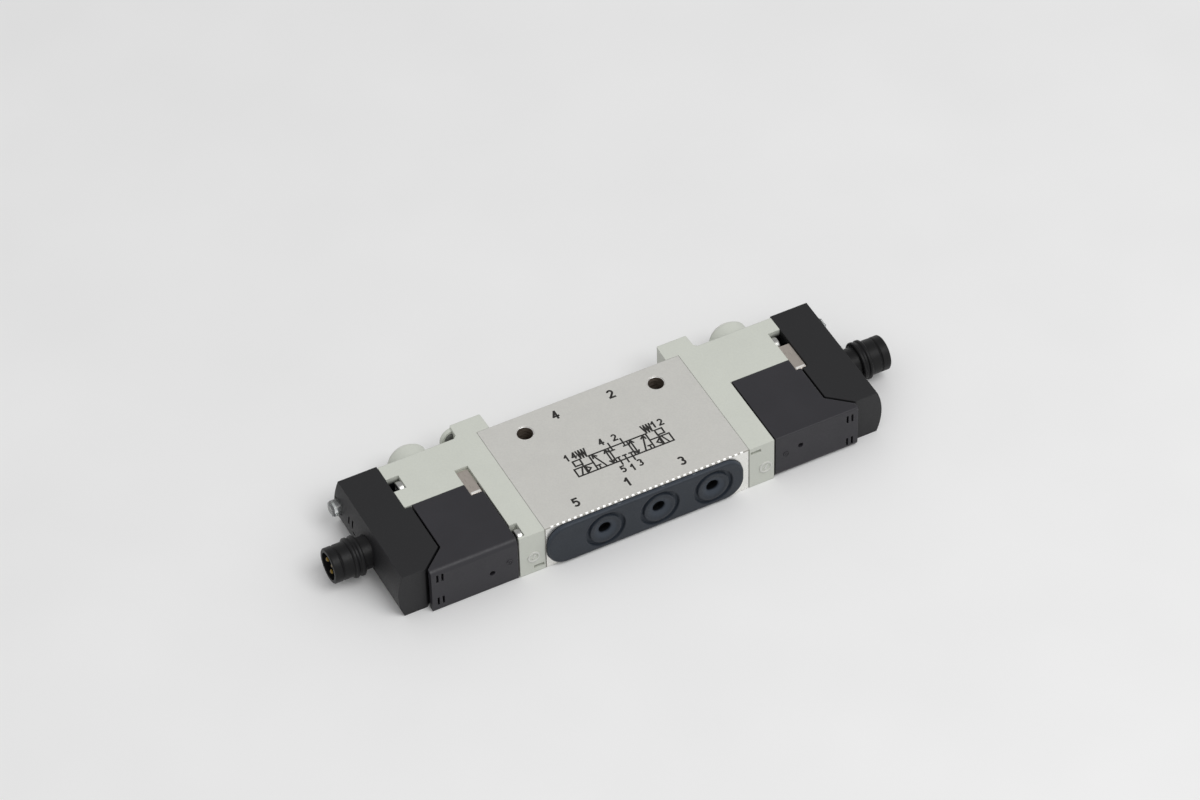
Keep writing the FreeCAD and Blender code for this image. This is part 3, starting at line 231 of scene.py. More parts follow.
def surface(tree, fine, rough, relief_mm=0.0, below=None, tones=(), tone=None, stops=(0.3, 0.7)):
    """Shader inputs of a grained surface. The fine pattern gives its roughness, over a range, and
    its relief, on top of another normal. Its colour runs through two tones with the tone
    pattern, or with the fine one."""
    inputs = {"Roughness": add_node(tree, "ShaderNodeMapRange", inputs={
        "Value": fine, "From Min": 0.3, "From Max": 0.7, "To Min": rough[0], "To Max": rough[1]})}
    if tones:
        inputs["Base Color"] = add_node(tree, "ShaderNodeValToRGB", inputs={"Fac": tone or fine},
                                        ramp=zip(stops, tones))
    if relief_mm:
        relief = {"Height": fine, "Distance": mm(relief_mm), "Strength": 1.0}
        if below:
            relief["Normal"] = below
        inputs["Normal"] = add_node(tree, "ShaderNodeBump", inputs=relief)
    return inputs


def speckled(tree, base, fine, darker, lighter):
    """Half the base colour and half a fine speckle of two tones."""
    speck = add_node(tree, "ShaderNodeValToRGB", inputs={"Fac": fine},
                     ramp=((0.35, darker), (0.65, lighter)))
    return add_node(tree, "ShaderNodeMix", {"data_type": "RGBA"}, {0: 0.5, 6: base, 7: speck})


def covered(tree, base, layers):
    """The base colour under layers, each a mask with the colour that it lays over the rest."""
    for mask, colour in layers:
        base = add_node(tree, "ShaderNodeMix", {"data_type": "RGBA"},
                        {0: mask, 6: base, 7: colour})
    return base


def away_from(tree, place, centre):
    """How far a point lies from a centre, axis by axis."""
    offset = add_node(tree, "ShaderNodeVectorMath", {"operation": "SUBTRACT"},
                      {0: place, 1: centre})
    return add_node(tree, "ShaderNodeVectorMath", {"operation": "ABSOLUTE"}, {0: offset})


def finish_material(material, tree, inputs):
    """Ends a material in one shader with these inputs."""
    shader = add_node(tree, "ShaderNodeBsdfPrincipled", inputs=inputs)
    add_node(tree, "ShaderNodeOutputMaterial", inputs={"Surface": shader})
    return material


def moulded_plastic(name, colour, rough, sparkle, gloss=0.5, relief_mm=0.012, smudge=0.03,
                    edge_rough=None, layers=None):
    """Plastic moulded against a spark-eroded tool: a fine dull grain of sparkle mm, drawn at
    about twice its real size so that it shows, over slow tone changes from the flow of the melt.
    Its edges are a little round and catch the light, more so where they are rubbed smooth."""
    material, tree, place, edges = start_material(name, 1.0)
    fine = grain(tree, place, sparkle)
    inputs = surface(tree, fine, (rough - 0.05, rough + 0.07), relief_mm, edges,
                     (shade(colour, 1 - smudge), shade(colour, 1 + smudge)),
                     grain(tree, place, 7.0, detail=2.0))
    base = speckled(tree, inputs["Base Color"], fine, shade(colour, 0.955), shade(colour, 1.035))
    if layers:
        base = covered(tree, base, layers(tree, place))
    if edge_rough:
        flat = add_node(tree, "ShaderNodeNewGeometry").outputs["Normal"]
        lean = add_node(tree, "ShaderNodeVectorMath", {"operation": "DOT_PRODUCT"},
                        {0: flat, 1: edges})
        rubbed = add_node(tree, "ShaderNodeMapRange", inputs={
            "Value": lean, "From Min": 0.9, "From Max": 0.995, "To Min": 1, "To Max": 0})
        inputs["Roughness"] = add_node(tree, "ShaderNodeMix", {"data_type": "FLOAT"}, {
            0: rubbed, 2: inputs["Roughness"], 3: edge_rough})
    return finish_material(material, tree, inputs | {
        "Base Color": base, "IOR": 1.5, "Specular IOR Level": gloss})


# The screw notches at the corners of the housings: from where they start along X, their middle
# and half width along Y, and the heights from the middle between which painted shade turns
# them black.
NOTCH_START = 38.08
NOTCH_MIDDLE = 9.15
NOTCH_HALF = 1.72
NOTCH_FADE = (3.5, 4.4)


def notch_shadow(tree, place):
    """Painted shade: black deep inside the screw notches of the housings."""
    away = add_node(tree, "ShaderNodeSeparateXYZ", inputs={
        "Vector": away_from(tree, place, (0, mm(NOTCH_MIDDLE), LEVEL))}).outputs
    beyond = add_node(tree, "ShaderNodeMath", {"operation": "GREATER_THAN"},
                      {0: away["X"], 1: mm(NOTCH_START)})
    within = add_node(tree, "ShaderNodeMath", {"operation": "LESS_THAN"},
                      {0: away["Y"], 1: mm(NOTCH_HALF)})
    inside = add_node(tree, "ShaderNodeMath", {"operation": "MULTIPLY"}, {0: beyond, 1: within})
    # The painted shade fades out towards the housing's top and bottom faces.
    depth = add_node(tree, "ShaderNodeMapRange", inputs={
        "Value": away["Z"], "From Min": mm(NOTCH_FADE[0]), "From Max": mm(NOTCH_FADE[1]),
        "To Min": 1, "To Max": 0})
    mask = add_node(tree, "ShaderNodeMath", {"operation": "MULTIPLY"}, {0: inside, 1: depth})
    return [(mask, linear("141414"))]


def rubber(name, colour, rough, rounding=2.0, layers=None):
    """Moulded nitrile rubber: a soft even sheen, with a faint bloom in slow patches."""
    material, tree, place, edges = start_material(name, rounding)
    inputs = surface(tree, grain(tree, place, 0.35), (rough - 0.06, rough + 0.08), 0.008, edges,
                     (shade(colour, 0.93), shade(colour, 1.08)),
                     grain(tree, place, 4.0, detail=2.0))
    if layers:
        inputs["Base Color"] = covered(tree, inputs["Base Color"], layers(tree, place))
    return finish_material(material, tree, inputs | {"IOR": 1.52, "Specular IOR Level": 0.4})


# How much paler the gasket is painted in its rings, as painted light, and how dark in its
# bores, as painted shade, and the depths below its face between which each begins.
GASKET_RINGS = (1.7, 0.03, 0.3)
GASKET_BORES = (0.12, 0.75, 0.9)


def gasket_depths(tree, place):
    """Painted light that keeps the gasket's shallow rings pale, and painted shade in its bores."""
    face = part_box("port_gasket")[0].y
    across = add_node(tree, "ShaderNodeSeparateXYZ", inputs={"Vector": place}).outputs["Y"]
    colour = bpy.context.scene.valve_colours.gasket[:]
    return [(add_node(tree, "ShaderNodeMapRange", inputs={
        "Value": across, "From Min": face + mm(start), "From Max": face + mm(end),
        "To Min": 0, "To Max": 1}), shade(colour, share))
        for share, start, end in (GASKET_RINGS, GASKET_BORES)]


def one_grain(name, size_mm, rough, tones, relief_mm=0.0, rounding=0.0, stretch=(1, 1, 1),
              detail=3.0, others=None):
    """A material whose tone, gloss and relief follow one grain, with other shader inputs."""
    material, tree, place, edges = start_material(name, rounding)
    return finish_material(material, tree, surface(
        tree, grain(tree, place, size_mm, detail, stretch), rough, relief_mm, edges, tones)
        | (others or {}))


def bright_metal(name, colour, rough, grain_mm, stretch, relief_mm, metallic=1.0, low=0.9,
                 rounding=1.0):
    """Metal whose fine lines come from how it was drawn, rolled, turned or plated. A freshly cut
    facet has no rounding: it flashes as a whole."""
    return one_grain(name, grain_mm, (rough - 0.07, rough + 0.1),
                     (shade(colour, low), shade(colour, 1.04)), relief_mm, rounding, stretch,
                     others={"Metallic": metallic})


# The near face of the body is left bright from the milling, and its colour is painted brighter
# still as painted reflection; the bevel along its edges has a darker colour. Its bores are drilled
# and painted dark as painted shade: the half sizes of the region that they take up inside it, and
# the places across it between which the painted shade grows lighter.
MILLED_FACE = -13.745
EDGE_BEVEL = -13.56
BORE_REGION = (20.7, 13.6, 4.93)
BORE_LIGHT = (-12, -6)


def body_aluminium(colour):
    """Aluminium bar, milled, fine blasted and clear anodised: an even pale satin, a little lighter
    and darker in slow patches, with a dull grain of 0.1 mm grit drawn at 0.3 mm to show. The near
    face shines more than the rest, and is painted brighter as painted reflection; the bores are
    painted dark as painted shade, with the drill's rings in them."""
    material, tree, place, edges = start_material("aluminium_blasted_anodised", 1.0)
    grit = grain(tree, place, 0.3)
    inputs = surface(tree, grit, (0.5, 0.62), 0.01, edges,
                     (shade(colour, 0.965), shade(colour, 1.03)), grain(tree, place, 5.0))
    base = speckled(tree, inputs["Base Color"], grit, shade(colour, 0.94), shade(colour, 1.05))
    depth = add_node(tree, "ShaderNodeVectorMath", {"operation": "SUBTRACT"}, {
        0: [mm(part) for part in BORE_REGION], 1: away_from(tree, place, (0, 0, LEVEL))})
    depth = add_node(tree, "ShaderNodeSeparateXYZ", inputs={"Vector": depth}).outputs
    least = depth["X"]
    for axis in "YZ":
        least = add_node(tree, "ShaderNodeMath", {"operation": "MINIMUM"},
                         {0: least, 1: depth[axis]})
    inside = add_node(tree, "ShaderNodeMapRange", inputs={
        "Value": least, "From Min": 0, "From Max": mm(0.1), "To Min": 0, "To Max": 1})
    across = add_node(tree, "ShaderNodeSeparateXYZ", inputs={"Vector": place}).outputs["Y"]
    milled, bevel = (add_node(tree, "ShaderNodeMath", {"operation": "LESS_THAN"},
                              {0: across, 1: mm(edge)}) for edge in (MILLED_FACE, EDGE_BEVEL))
    # The bores' painted shade: dark browns over the drill's rings.
    rings = add_node(tree, "ShaderNodeValToRGB",
                     inputs={"Fac": grain(tree, place, 0.4, stretch=(0.3, 0.3, 1))},
                     ramp=((0.3, linear("51473e")), (0.7, linear("94897d"))))
    deep = add_node(tree, "ShaderNodeMapRange", inputs={
        "Value": across, "From Min": mm(BORE_LIGHT[0]), "From Max": mm(BORE_LIGHT[1]),
        "To Min": 1, "To Max": 0})
    # Painted shade turns the bores almost black towards the near face.
    painted_bore_shade = covered(tree, rings, [(deep, linear("0c0c0d"))])
    # The near face's pale colour is painted reflection as well as bare metal.
    base = covered(tree, base, [(bevel, linear("a5a39d")), (milled, linear("f6f5f1")),
                                (inside, painted_bore_shade)])
    bare = add_node(tree, "ShaderNodeMath", {"operation": "MAXIMUM"}, {0: inside, 1: milled})
    return finish_material(material, tree, inputs | {
        "Base Color": base,
        "Metallic": add_node(tree, "ShaderNodeMath", {"operation": "MULTIPLY_ADD"},
                             {0: milled, 1: 0.5, 2: 0.4}),
        "Roughness": add_node(tree, "ShaderNodeMath", {"operation": "MULTIPLY_ADD"},
                              {0: bare, 1: -0.25, 2: inputs["Roughness"]})})


# The pitch of the rings that the spool is drawn with.
RING_PITCH = 0.59376


def turned_spool(colour):
    """Aluminium turned and polished: fine rings round the X axis, drawn 0.6 mm apart so that
    they show. The node draws a ring every tau / 20 at a scale of 1."""
    material, tree, place, _ = start_material("aluminium_turned_polished")
    rings = add_node(tree, "ShaderNodeTexWave", {"bands_direction": "X"}, {
        "Vector": place, "Scale": math.tau / 20 / mm(RING_PITCH), "Distortion": 0.6,
        "Detail": 2.0})
    return finish_material(material, tree, surface(
        tree, rings.outputs["Fac"], (0.28, 0.28), 0.004,
        tones=(shade(colour, 0.9), shade(colour, 1.02)), stops=(0, 1)) | {"Metallic": 1.0})


def winding_copper(colour):
    """Enamelled copper wire: warm metal under clear varnish, darker in patches where it is
    thick."""
    return one_grain("copper_wire_enamelled", 0.8, (0.3, 0.3),
                     (shade(colour, 0.8), shade(colour, 1.1)), 0.004, others={
                         "Metallic": 0.9, "Coat Weight": 0.6, "Coat Roughness": 0.12})


def circuit_laminate(colour):
    """Glass-epoxy board under green solder mask: a fine weave, drawn in cells of 0.25 mm, and
    copper tracks 0.66 mm apart, which run along the board below the mask and show as slightly
    raised, lighter lines."""
    material, tree, place, _ = start_material("laminate_solder_mask")
    along = add_node(tree, "ShaderNodeMapping", inputs={
        "Vector": place, "Rotation": (0, 0, math.pi / 2)})
    tracks = add_node(tree, "ShaderNodeTexBrick", {"offset": 0.37, "squash": 1.0}, {
        "Vector": along, "Color1": shade(colour, 1.0), "Color2": shade(colour, 0.9),
        "Mortar": shade(colour, 1.5), "Scale": 1 / mm(2.2), "Mortar Size": 0.05,
        "Mortar Smooth": 0.1, "Brick Width": 3.6, "Row Height": 0.3})
    raised = add_node(tree, "ShaderNodeBump", inputs={
        "Height": tracks.outputs["Fac"], "Distance": mm(0.03), "Strength": 1.0})
    return finish_material(material, tree, surface(
        tree, grain(tree, place, 0.25), (0.3, 0.42), 0.006, raised) | {
            "Base Color": tracks.outputs["Color"], "IOR": 1.5, "Coat Weight": 0.4,
            "Coat Roughness": 0.15})


def clear_window():
    """Clear polycarbonate, moulded against a polished tool: clear, with a faint flow in it."""
    return one_grain("polycarbonate_clear_moulded", 1.2, (0.12, 0.22),
                     (linear("e6eaea"), linear("fafcfc")), 0.02, detail=1.0,
                     others={"Transmission Weight": 0.9, "IOR": 1.585})


def printing_ink(colour):
    """Pad-printed ink: a thin dull film, slightly uneven where it lies on the metal's grain."""
    return one_grain("ink_pad_printed", 0.3, (0.5, 0.7),
                     (shade(colour, 0.8), shade(colour, 1.35)), others={"IOR": 1.45})


def lamp_lens(name, colour):
    """Cast epoxy lens of a small lamp: tinted, glossy and slightly cloudy."""
    return one_grain(name, 0.6, (0.15, 0.25), (shade(colour, 0.9), shade(colour, 1.1)),
                     others={"IOR": 1.53, "Coat Weight": 0.5})


def make_finishes():
    """Every finish by its slot in the record, and those that only the scene has."""
    colours = bpy.context.scene.valve_colours
    return {
        "body_aluminium": body_aluminium(colours.aluminium[:]),
        # Blue-grey rubber with painted light in its rings and painted shade in its bores.
        "gasket_rubber": rubber(
            "nitrile_rubber_moulded_blue_grey", colours.gasket[:], 0.5, 2.5, gasket_depths),
        "spool_aluminium": turned_spool(linear("c4c4c2")),
        "seal_rubber": rubber("nitrile_rubber_moulded_black", colours.seal[:], 0.45),
        # Moulded acetal: a dense plastic with a slightly soft sheen.
        "piston_plastic": moulded_plastic("acetal_moulded_black", linear("2a2a2c"), 0.4, 0.4),
        # Drawn stainless wire: bright, with a faint grain of 0.15 mm from the die.
        "spring_steel": bright_metal(
            "spring_steel_drawn", linear("c0c0be"), 0.28, 0.15, (1, 1, 1), 0.003),
        # Moulded polybutylene: an even satin, with painted shade deep in the screw notches.
        "housing_plastic": moulded_plastic(
            "polybutylene_moulded_light_grey", colours.housing[:], 0.46, 0.32,
            layers=notch_shadow),
        # Zinc plated steel: pale and bright, with a fine crystal grain.
        "screw_steel": bright_metal(
            "steel_zinc_plated", colours.screw[:], 0.3, 0.3, (1, 1, 1), 0.006),
        "button_plastic": moulded_plastic(
            "acetal_moulded_light_grey", colours.button[:], 0.42, 0.32),
        # Polybutylene with glass fibres: cloudier, with edges that are rubbed smooth.
        "solenoid_plastic": moulded_plastic(
            "polybutylene_glass_filled_moulded_black", colours.case[:], 0.46, 0.34, 0.45,
            smudge=0.14, edge_rough=0.2),
        # Rolled stainless strip, stamped and bent: warm and bright, with rolling lines along Y.
        "clip_steel": bright_metal(
            "stainless_strip_rolled", colours.clip[:], 0.34, 0.16, (1, 0.12, 1), 0.002, low=0.97),
        "bobbin_plastic": moulded_plastic(
            "polyamide_moulded_natural", linear("d8d2c0"), 0.45, 0.4),
        "copper_wire": winding_copper(colours.copper[:]),
        # Soft magnetic steel, turned: rings across the Y axis.
        "core_steel": bright_metal(
            "magnetic_steel_turned", linear("a8a8a8"), 0.3, 0.25, (0.1, 1, 0.1), 0.005),
        "box_plastic": moulded_plastic(
            "polybutylene_moulded_black_box", colours.box[:], 0.5, 0.34, 0.4),
        "board_laminate": circuit_laminate(colours.laminate[:]),
        "light_pipe_plastic": clear_window(),
        # Gold plating over brass: warm and bright, with turned rings round the pins.
        "contact_brass": bright_metal(
            "brass_gold_plated", colours.brass[:], 0.22, 0.2, (1, 0.3, 0.3), 0.002),
        "plug_plastic": moulded_plastic(
            "polybutylene_moulded_black_plug", colours.plug[:], 0.44, 0.34, 0.22),
        "ink": printing_ink(colours.ink[:]),
        # Freshly cut aluminium, painted near white as a painted highlight too: bright facets
        # with tool lines along X.
        "cut_aluminium_and_glint": bright_metal(
            "aluminium_cut_bright", linear("fbfaf8"), 0.3, 0.2, (0.15, 1, 1), 0.002,
            metallic=0.3, low=0.97, rounding=0),
        # Cut and tumbled stainless edge, painted almost white all over as a painted highlight.
        "clip_edge_highlight": bright_metal(
            "stainless_edge_painted_highlight", linear("faf8f4"), 0.25, 0.2, (0.2, 1, 1), 0.002,
            metallic=0.4, low=0.97, rounding=0),
        # Plastic against a polished insert of the mould: glossy, with hardly any grain.
        "polished_mark": moulded_plastic(
            "polybutylene_moulded_polished", colours.button[:], 0.2, 0.5, 0.9, 0.004),
        # A dull dark grey sheet, greyer than the black cases, that fills each hoop's window.
        "dark_window_fill": moulded_plastic("dark_grey_window_fill", linear("5a5a58"), 0.45, 0.34),
        # Torn rubber: rough, and painted paler than its moulded skin as a painted highlight.
        "gasket_nib": rubber("nitrile_rubber_torn_painted_highlight", linear("5a616a"), 0.6),
        # Fired ceramic: an even black with a slight sheen.
        "part_ceramic": moulded_plastic("ceramic_fired_black", linear("1c1c1e"), 0.35, 0.3),
        # Tin plating, dipped: soft and bright.
        "part_tin": bright_metal(
            "tin_plated_dipped", linear("cfd0d0"), 0.3, 0.3, (1, 1, 1), 0.004),
        "lamp_yellow": lamp_lens("epoxy_cast_yellow", linear("c9b15a")),
    }


FINISHES = {}


# ---------------------------------------------------------------- pieces

# Turns that lay a shape made along Z along another axis.
ALONG = {"X": Matrix.Rotation(math.pi / 2, 4, "Y"), "Y": Matrix.Rotation(-math.pi / 2, 4, "X")}


def new_object(name, data):
    """An object of the scene with this data."""
    thing = bpy.data.objects.new(name, data)
    bpy.context.scene.collection.objects.link(thing)
    return thing


def add_piece(name, mesh, slot, finish=None, replaced=(), smooth_angle=35):
    """Links a finished mesh as a piece on the valve's still body, with the finish of a slot of the
    record or another one."""
    mesh.name = name
    mesh.materials.clear()
    mesh.materials.append(FINISHES[finish or slot])
    mesh.shade_smooth()
    mesh.set_sharp_from_angle(angle=math.radians(smooth_angle))
    piece = new_object(name, mesh)
    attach(piece, "valve")
    if replaced:
        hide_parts(*replaced)
    return piece


def mesh_of(shape):
    """A bmesh as a plain mesh with its normals outwards."""
    bmesh.ops.recalc_face_normals(shape, faces=shape.faces)
    mesh = bpy.data.meshes.new("mesh")
    shape.to_mesh(mesh)
    shape.free()
    return mesh


def joined(meshes):
    """Several closed meshes as one."""
    shape = bmesh.new()
    for mesh in meshes:
        shape.from_mesh(mesh)
        bpy.data.meshes.remove(mesh)
    return mesh_of(shape)


def placed(mesh, matrix):
    """The mesh moved by a matrix that doesn't mirror it."""
    mesh.transform(matrix)
    return mesh


def side_turn(side):
    """The right end module is the left one turned half round the Y axis of the body's middle."""
    if side == "left":
        return Matrix.Identity(4)
    middle = Matrix.Translation((0, 0, LEVEL))
    return middle @ Matrix.Rotation(math.pi, 4, "Y") @ middle.inverted()


def skinned(rows, capped=True):
    """A closed solid through rows of points, as many in each: its first and last row are closed
    by a face, or else joined to each other."""
    shape = bmesh.new()
    rows = [[shape.verts.new(point) for point in row] for row in rows]
    for row, following in zip(rows, rows[1:] if capped else rows[1:] + rows[:1]):
        for place in range(len(row)):
            after = (place + 1) % len(row)
            shape.faces.new((row[place], row[after], following[after], following[place]))
    if capped:
        shape.faces.new(rows[0])
        shape.faces.new(rows[-1])
    return mesh_of(shape)


def spun(rings, count=64, capped=True):
    """A closed solid round the Z axis from rings of (radius or function of the angle, level) in
    millimetres."""
    rows = []
    for radius, level in rings:
        row = []
        for step in range(count):
            angle = math.tau * step / count
            reach = mm(radius(angle) if callable(radius) else radius)
            row.append((reach * math.cos(angle), reach * math.sin(angle), mm(level)))
        rows.append(row)
    return skinned(rows, capped)


def tube(inner, outer, length):
    """A plain closed tube round the Z axis, from 0 to length, in metres."""
    return spun([(radius / MM, level / MM) for radius, level in
                 ((inner, 0), (outer, 0), (outer, length), (inner, length))], capped=False)


def facet(length, width, height):
    """A low bead along X with sloping sides on the XY plane, sizes in metres."""
    rows = []
    for level, share in ((-height, 1.0), (0, 1.0), (height, 0.55)):
        half, side = length / 2 * (0.75 + share / 4), width / 2 * share
        rows.append([(half * along, side * across, level) for along, across in (
            (-1, 0), (-0.8, -1), (0.8, -1), (1, 0), (0.8, 1), (-0.8, 1))])
    return skinned(rows)


def block(size, rounding):
    """A block on the XY plane with rounded edges, in millimetres."""
    shape = bmesh.new()
    bmesh.ops.create_cube(shape, size=1.0)
    for vertex in shape.verts:
        vertex.co = Vector([part * mm(length) for part, length in zip(vertex.co, size)])
        vertex.co.z += mm(size[2]) / 2
    bmesh.ops.bevel(shape, geom=shape.edges[:], offset=mm(rounding), segments=3, profile=0.5,
                    affect="EDGES")
    return mesh_of(shape)


# Places outside the valve, above it and on its near side, from which a line looks for a face.
ABOVE = 20
NEAR = -30


def seat(node, start, direction):
    """Where a straight line from a point outside first meets a node."""
    source = NODES[node].data
    tree = BVHTree.FromPolygons([vertex.co for vertex in source.vertices],
                                [tuple(face.vertices) for face in source.polygons])
    place = tree.ray_cast(Vector(start), Vector(direction))[0]
    if place is None:
        raise ValueError(f"nothing of {node} lies that way")
    return place


# ---------------------------------------------------------------- geometry nodes

def start_tree(name, inputs):
    """An empty geometry tree with these named inputs and a geometry in and out."""
    tree = bpy.data.node_groups.new(name, "GeometryNodeTree")
    for socket, kind in {"Geometry": "Geometry", **inputs}.items():
        tree.interface.new_socket(socket, in_out="INPUT", socket_type="NodeSocket" + kind)
    tree.interface.new_socket("Geometry", in_out="OUTPUT", socket_type="NodeSocketGeometry")
    return tree, add_node(tree, "NodeGroupInput").outputs


def end_tree(tree, geometry, finish):
    """Ends a tree in real geometry with its finish."""
    real = add_node(tree, "GeometryNodeRealizeInstances", inputs={"Geometry": geometry})
    painted = add_node(tree, "GeometryNodeSetMaterial", inputs={
        "Geometry": real, "Material": FINISHES[finish]})
    add_node(tree, "NodeGroupOutput", inputs={"Geometry": painted})
    return tree


def grown(mesh, tree, values):
    """The plain mesh that a tree makes of a mesh."""
    holder = new_object("holder", mesh)
    modifier = holder.modifiers.new("nodes", "NODES")
    modifier.node_group = tree
    sockets = {item.name: item.identifier for item in tree.interface.items_tree
               if item.in_out == "INPUT"}
    for name, value in values.items():
        modifier[sockets[name]] = value
    bpy.context.view_layer.update()
    evaluated = holder.evaluated_get(bpy.context.evaluated_depsgraph_get())
    result = bpy.data.meshes.new_from_object(evaluated)
    bpy.data.objects.remove(holder)
    return result


def points_mesh(points=(), edges=()):
    """A mesh of bare points, and lines between them, in millimetres."""
    mesh = bpy.data.meshes.new("points")
    mesh.from_pydata([[mm(part) for part in point] for point in points], edges, [])
    return mesh


def copied(mesh, points, name, finish):
    """One shape set at each of the points, in millimetres, as one mesh."""
    tree, given = start_tree(name, {"Shape": "Object"})
    shape = add_node(tree, "GeometryNodeObjectInfo", {"transform_space": "ORIGINAL"},
                     {"Object": given["Shape"]})
    end_tree(tree, add_node(tree, "GeometryNodeInstanceOnPoints", inputs={
        "Points": given["Geometry"], "Instance": shape.outputs["Geometry"]}), finish)
    helper = new_object("shape", mesh)
    result = grown(points_mesh(points), tree, {"Shape": helper})
    bpy.data.objects.remove(helper)
    return result


def helix_tree(name, finish):
    """Round bar wound on a helix about the Z axis, with closed ends, beside the mesh given."""
    tree, given = start_tree(name, {
        "Turns": "Float", "Radius": "Float", "Length": "Float", "Bar radius": "Float",
        "Steps": "Int", "Sides": "Int"})
    helix = add_node(tree, "GeometryNodeCurveSpiral", inputs={
        "Resolution": given["Steps"], "Rotations": given["Turns"],
        "Start Radius": given["Radius"], "End Radius": given["Radius"],
        "Height": given["Length"]})
    section = add_node(tree, "GeometryNodeCurvePrimitiveCircle", inputs={
        "Resolution": given["Sides"], "Radius": given["Bar radius"]})
    bar = add_node(tree, "GeometryNodeCurveToMesh", inputs={
        "Curve": helix, "Profile Curve": section, "Fill Caps": True})
    both = add_node(tree, "GeometryNodeJoinGeometry", inputs={"Geometry": given["Geometry"]})
    tree.links.new(bar.outputs["Mesh"], both.inputs["Geometry"])
    return end_tree(tree, both, finish)


# ---------------------------------------------------------------- finishes and print

class VALVE_OT_finishes(bpy.types.Operator):
    """Makes the finishes and gives every solid its own"""
    bl_idname = "valve.finishes"
    bl_label = "Finishes"

    def execute(self, context):
        FINISHES.clear()
        FINISHES.update(make_finishes())
        for name, node in NODES.items():
            node.data.materials.clear()
            node.data.materials.append(FINISHES[SLOTS[name]])
        return {"FINISHED"}


# Centres of the figures on the body's top face, in millimetres.
PORT_FIGURES = [("4", -6.2, 10.9), ("2", 5.2, 10.85), ("5", -12.85, -10.4),
                ("1", -2.3, -10.3), ("3", 8.8, -10.3)]
SYMBOL_FIGURES = [("12", 9.15, 0.2), ("14", -8.65, 0.1), ("4", -2.0, 0.8), ("2", 0.65, 0.7),
                  ("5", -1.5, -7.1), ("1", 0.25, -7.5), ("3", 1.95, -7.1)]
# A figure's width and the gap to the next, as shares of its height.
FIGURE_WIDTH = 0.62
FIGURE_GAP = 0.2
# The lower and upper line of the symbol's boxes, half the width of the bar that ends a port's
# line, and an arrowhead's length and turn.
SYMBOL_LOW = -5.05
SYMBOL_HIGH = -1.2
PORT_BAR = 0.3
ARROW_HEAD = (0.85, 2.62)
# The most degrees of an arc that one straight piece of a figure takes.
ARC_STEP = 12
# Each printed line lies this much above the one before it, and the count starts again after so
# many, so that crossing lines share no face.
LINE_LIFT = 0.00015
LINE_LEVELS = 37.0


class VALVE_OT_body_marks(bpy.types.Operator):
    """Prints the port numbers and the flow symbol on the body"""
    bl_idname = "valve.body_marks"
    bl_label = "Printed marks"

    def execute(self, context):
        marks = context.scene.valve_marks
        prints = [("flow_symbol", symbol_strokes(), marks.symbol_stroke)]
        for name, numbers, height, width in (
                ("port_figures", PORT_FIGURES, marks.port_height, marks.port_stroke),
                ("symbol_figures", SYMBOL_FIGURES, marks.label_height, marks.label_stroke)):
            prints.append((name, number_strokes(numbers, height, width), width))
        for name, strokes, width in prints:
            add_piece(name, printed(strokes, width, marks.film), "body_aluminium", "ink")
        return {"FINISHED"}


def arc(x, y, across, tall, start, end):
    """Points along part of an ellipse, from one angle to another in degrees."""
    steps = max(2, round(abs(end - start) / ARC_STEP))
    angles = [math.radians(start + (end - start) * step / steps) for step in range(steps + 1)]
    return [(x + across * math.cos(angle), y + tall * math.sin(angle)) for angle in angles]


# The strokes of each figure in a box one wide and one high.
FIGURES = {
    "1": [[(0.62, 0), (0.62, 1)], [(0.62, 1), (0.15, 0.72)]],
    "2": [arc(0.5, 0.72, 0.48, 0.28, 165, -35) + [(0.02, 0)], [(0, 0), (1, 0)]],
    "3": [arc(0.45, 0.76, 0.48, 0.24, 150, -80), arc(0.45, 0.27, 0.53, 0.27, 90, -150)],
    "4": [[(0.66, 1), (0, 0.3)], [(0, 0.3), (1, 0.3)], [(0.72, 1), (0.72, 0)]],
    "5": [[(0.92, 1), (0.14, 1)], [(0.14, 1), (0.08, 0.56)],
          arc(0.42, 0.32, 0.55, 0.32, 130, -145)],
}


def number_strokes(numbers, height, stroke):
    """The strokes of numbers with their middles at their places, as millimetres."""
    height, stroke = height / MM, stroke / MM
    wide, tall = height * FIGURE_WIDTH - stroke, height - stroke
    pace = height * (FIGURE_WIDTH + FIGURE_GAP)
    strokes = []
    for text, x, y in numbers:
        for place, figure in enumerate(text):
            left = x + (place - (len(text) - 1) / 2) * pace - wide / 2
            low = y - tall / 2
            strokes += [[(left + across * wide, low + up * tall) for across, up in path]
                        for path in FIGURES[figure]]
    return strokes


def straight(*path):
    """Separate straight strokes from each point of a path to the next."""
    return [[start, end] for start, end in zip(path, path[1:])]


def arrow(start, end, both=False):
    """A straight stroke with an open arrowhead at its end, or at both its ends."""
    length, lean = ARROW_HEAD
    strokes = straight(start, end)
    for tip, tail in ((end, start), (start, end))[:2 if both else 1]:
        angle = math.atan2(tip[1] - tail[1], tip[0] - tail[0])
        for turn in (lean, -lean):
            strokes += straight(tip, (tip[0] + length * math.cos(angle + turn),
                                      tip[1] + length * math.sin(angle + turn)))
    return strokes


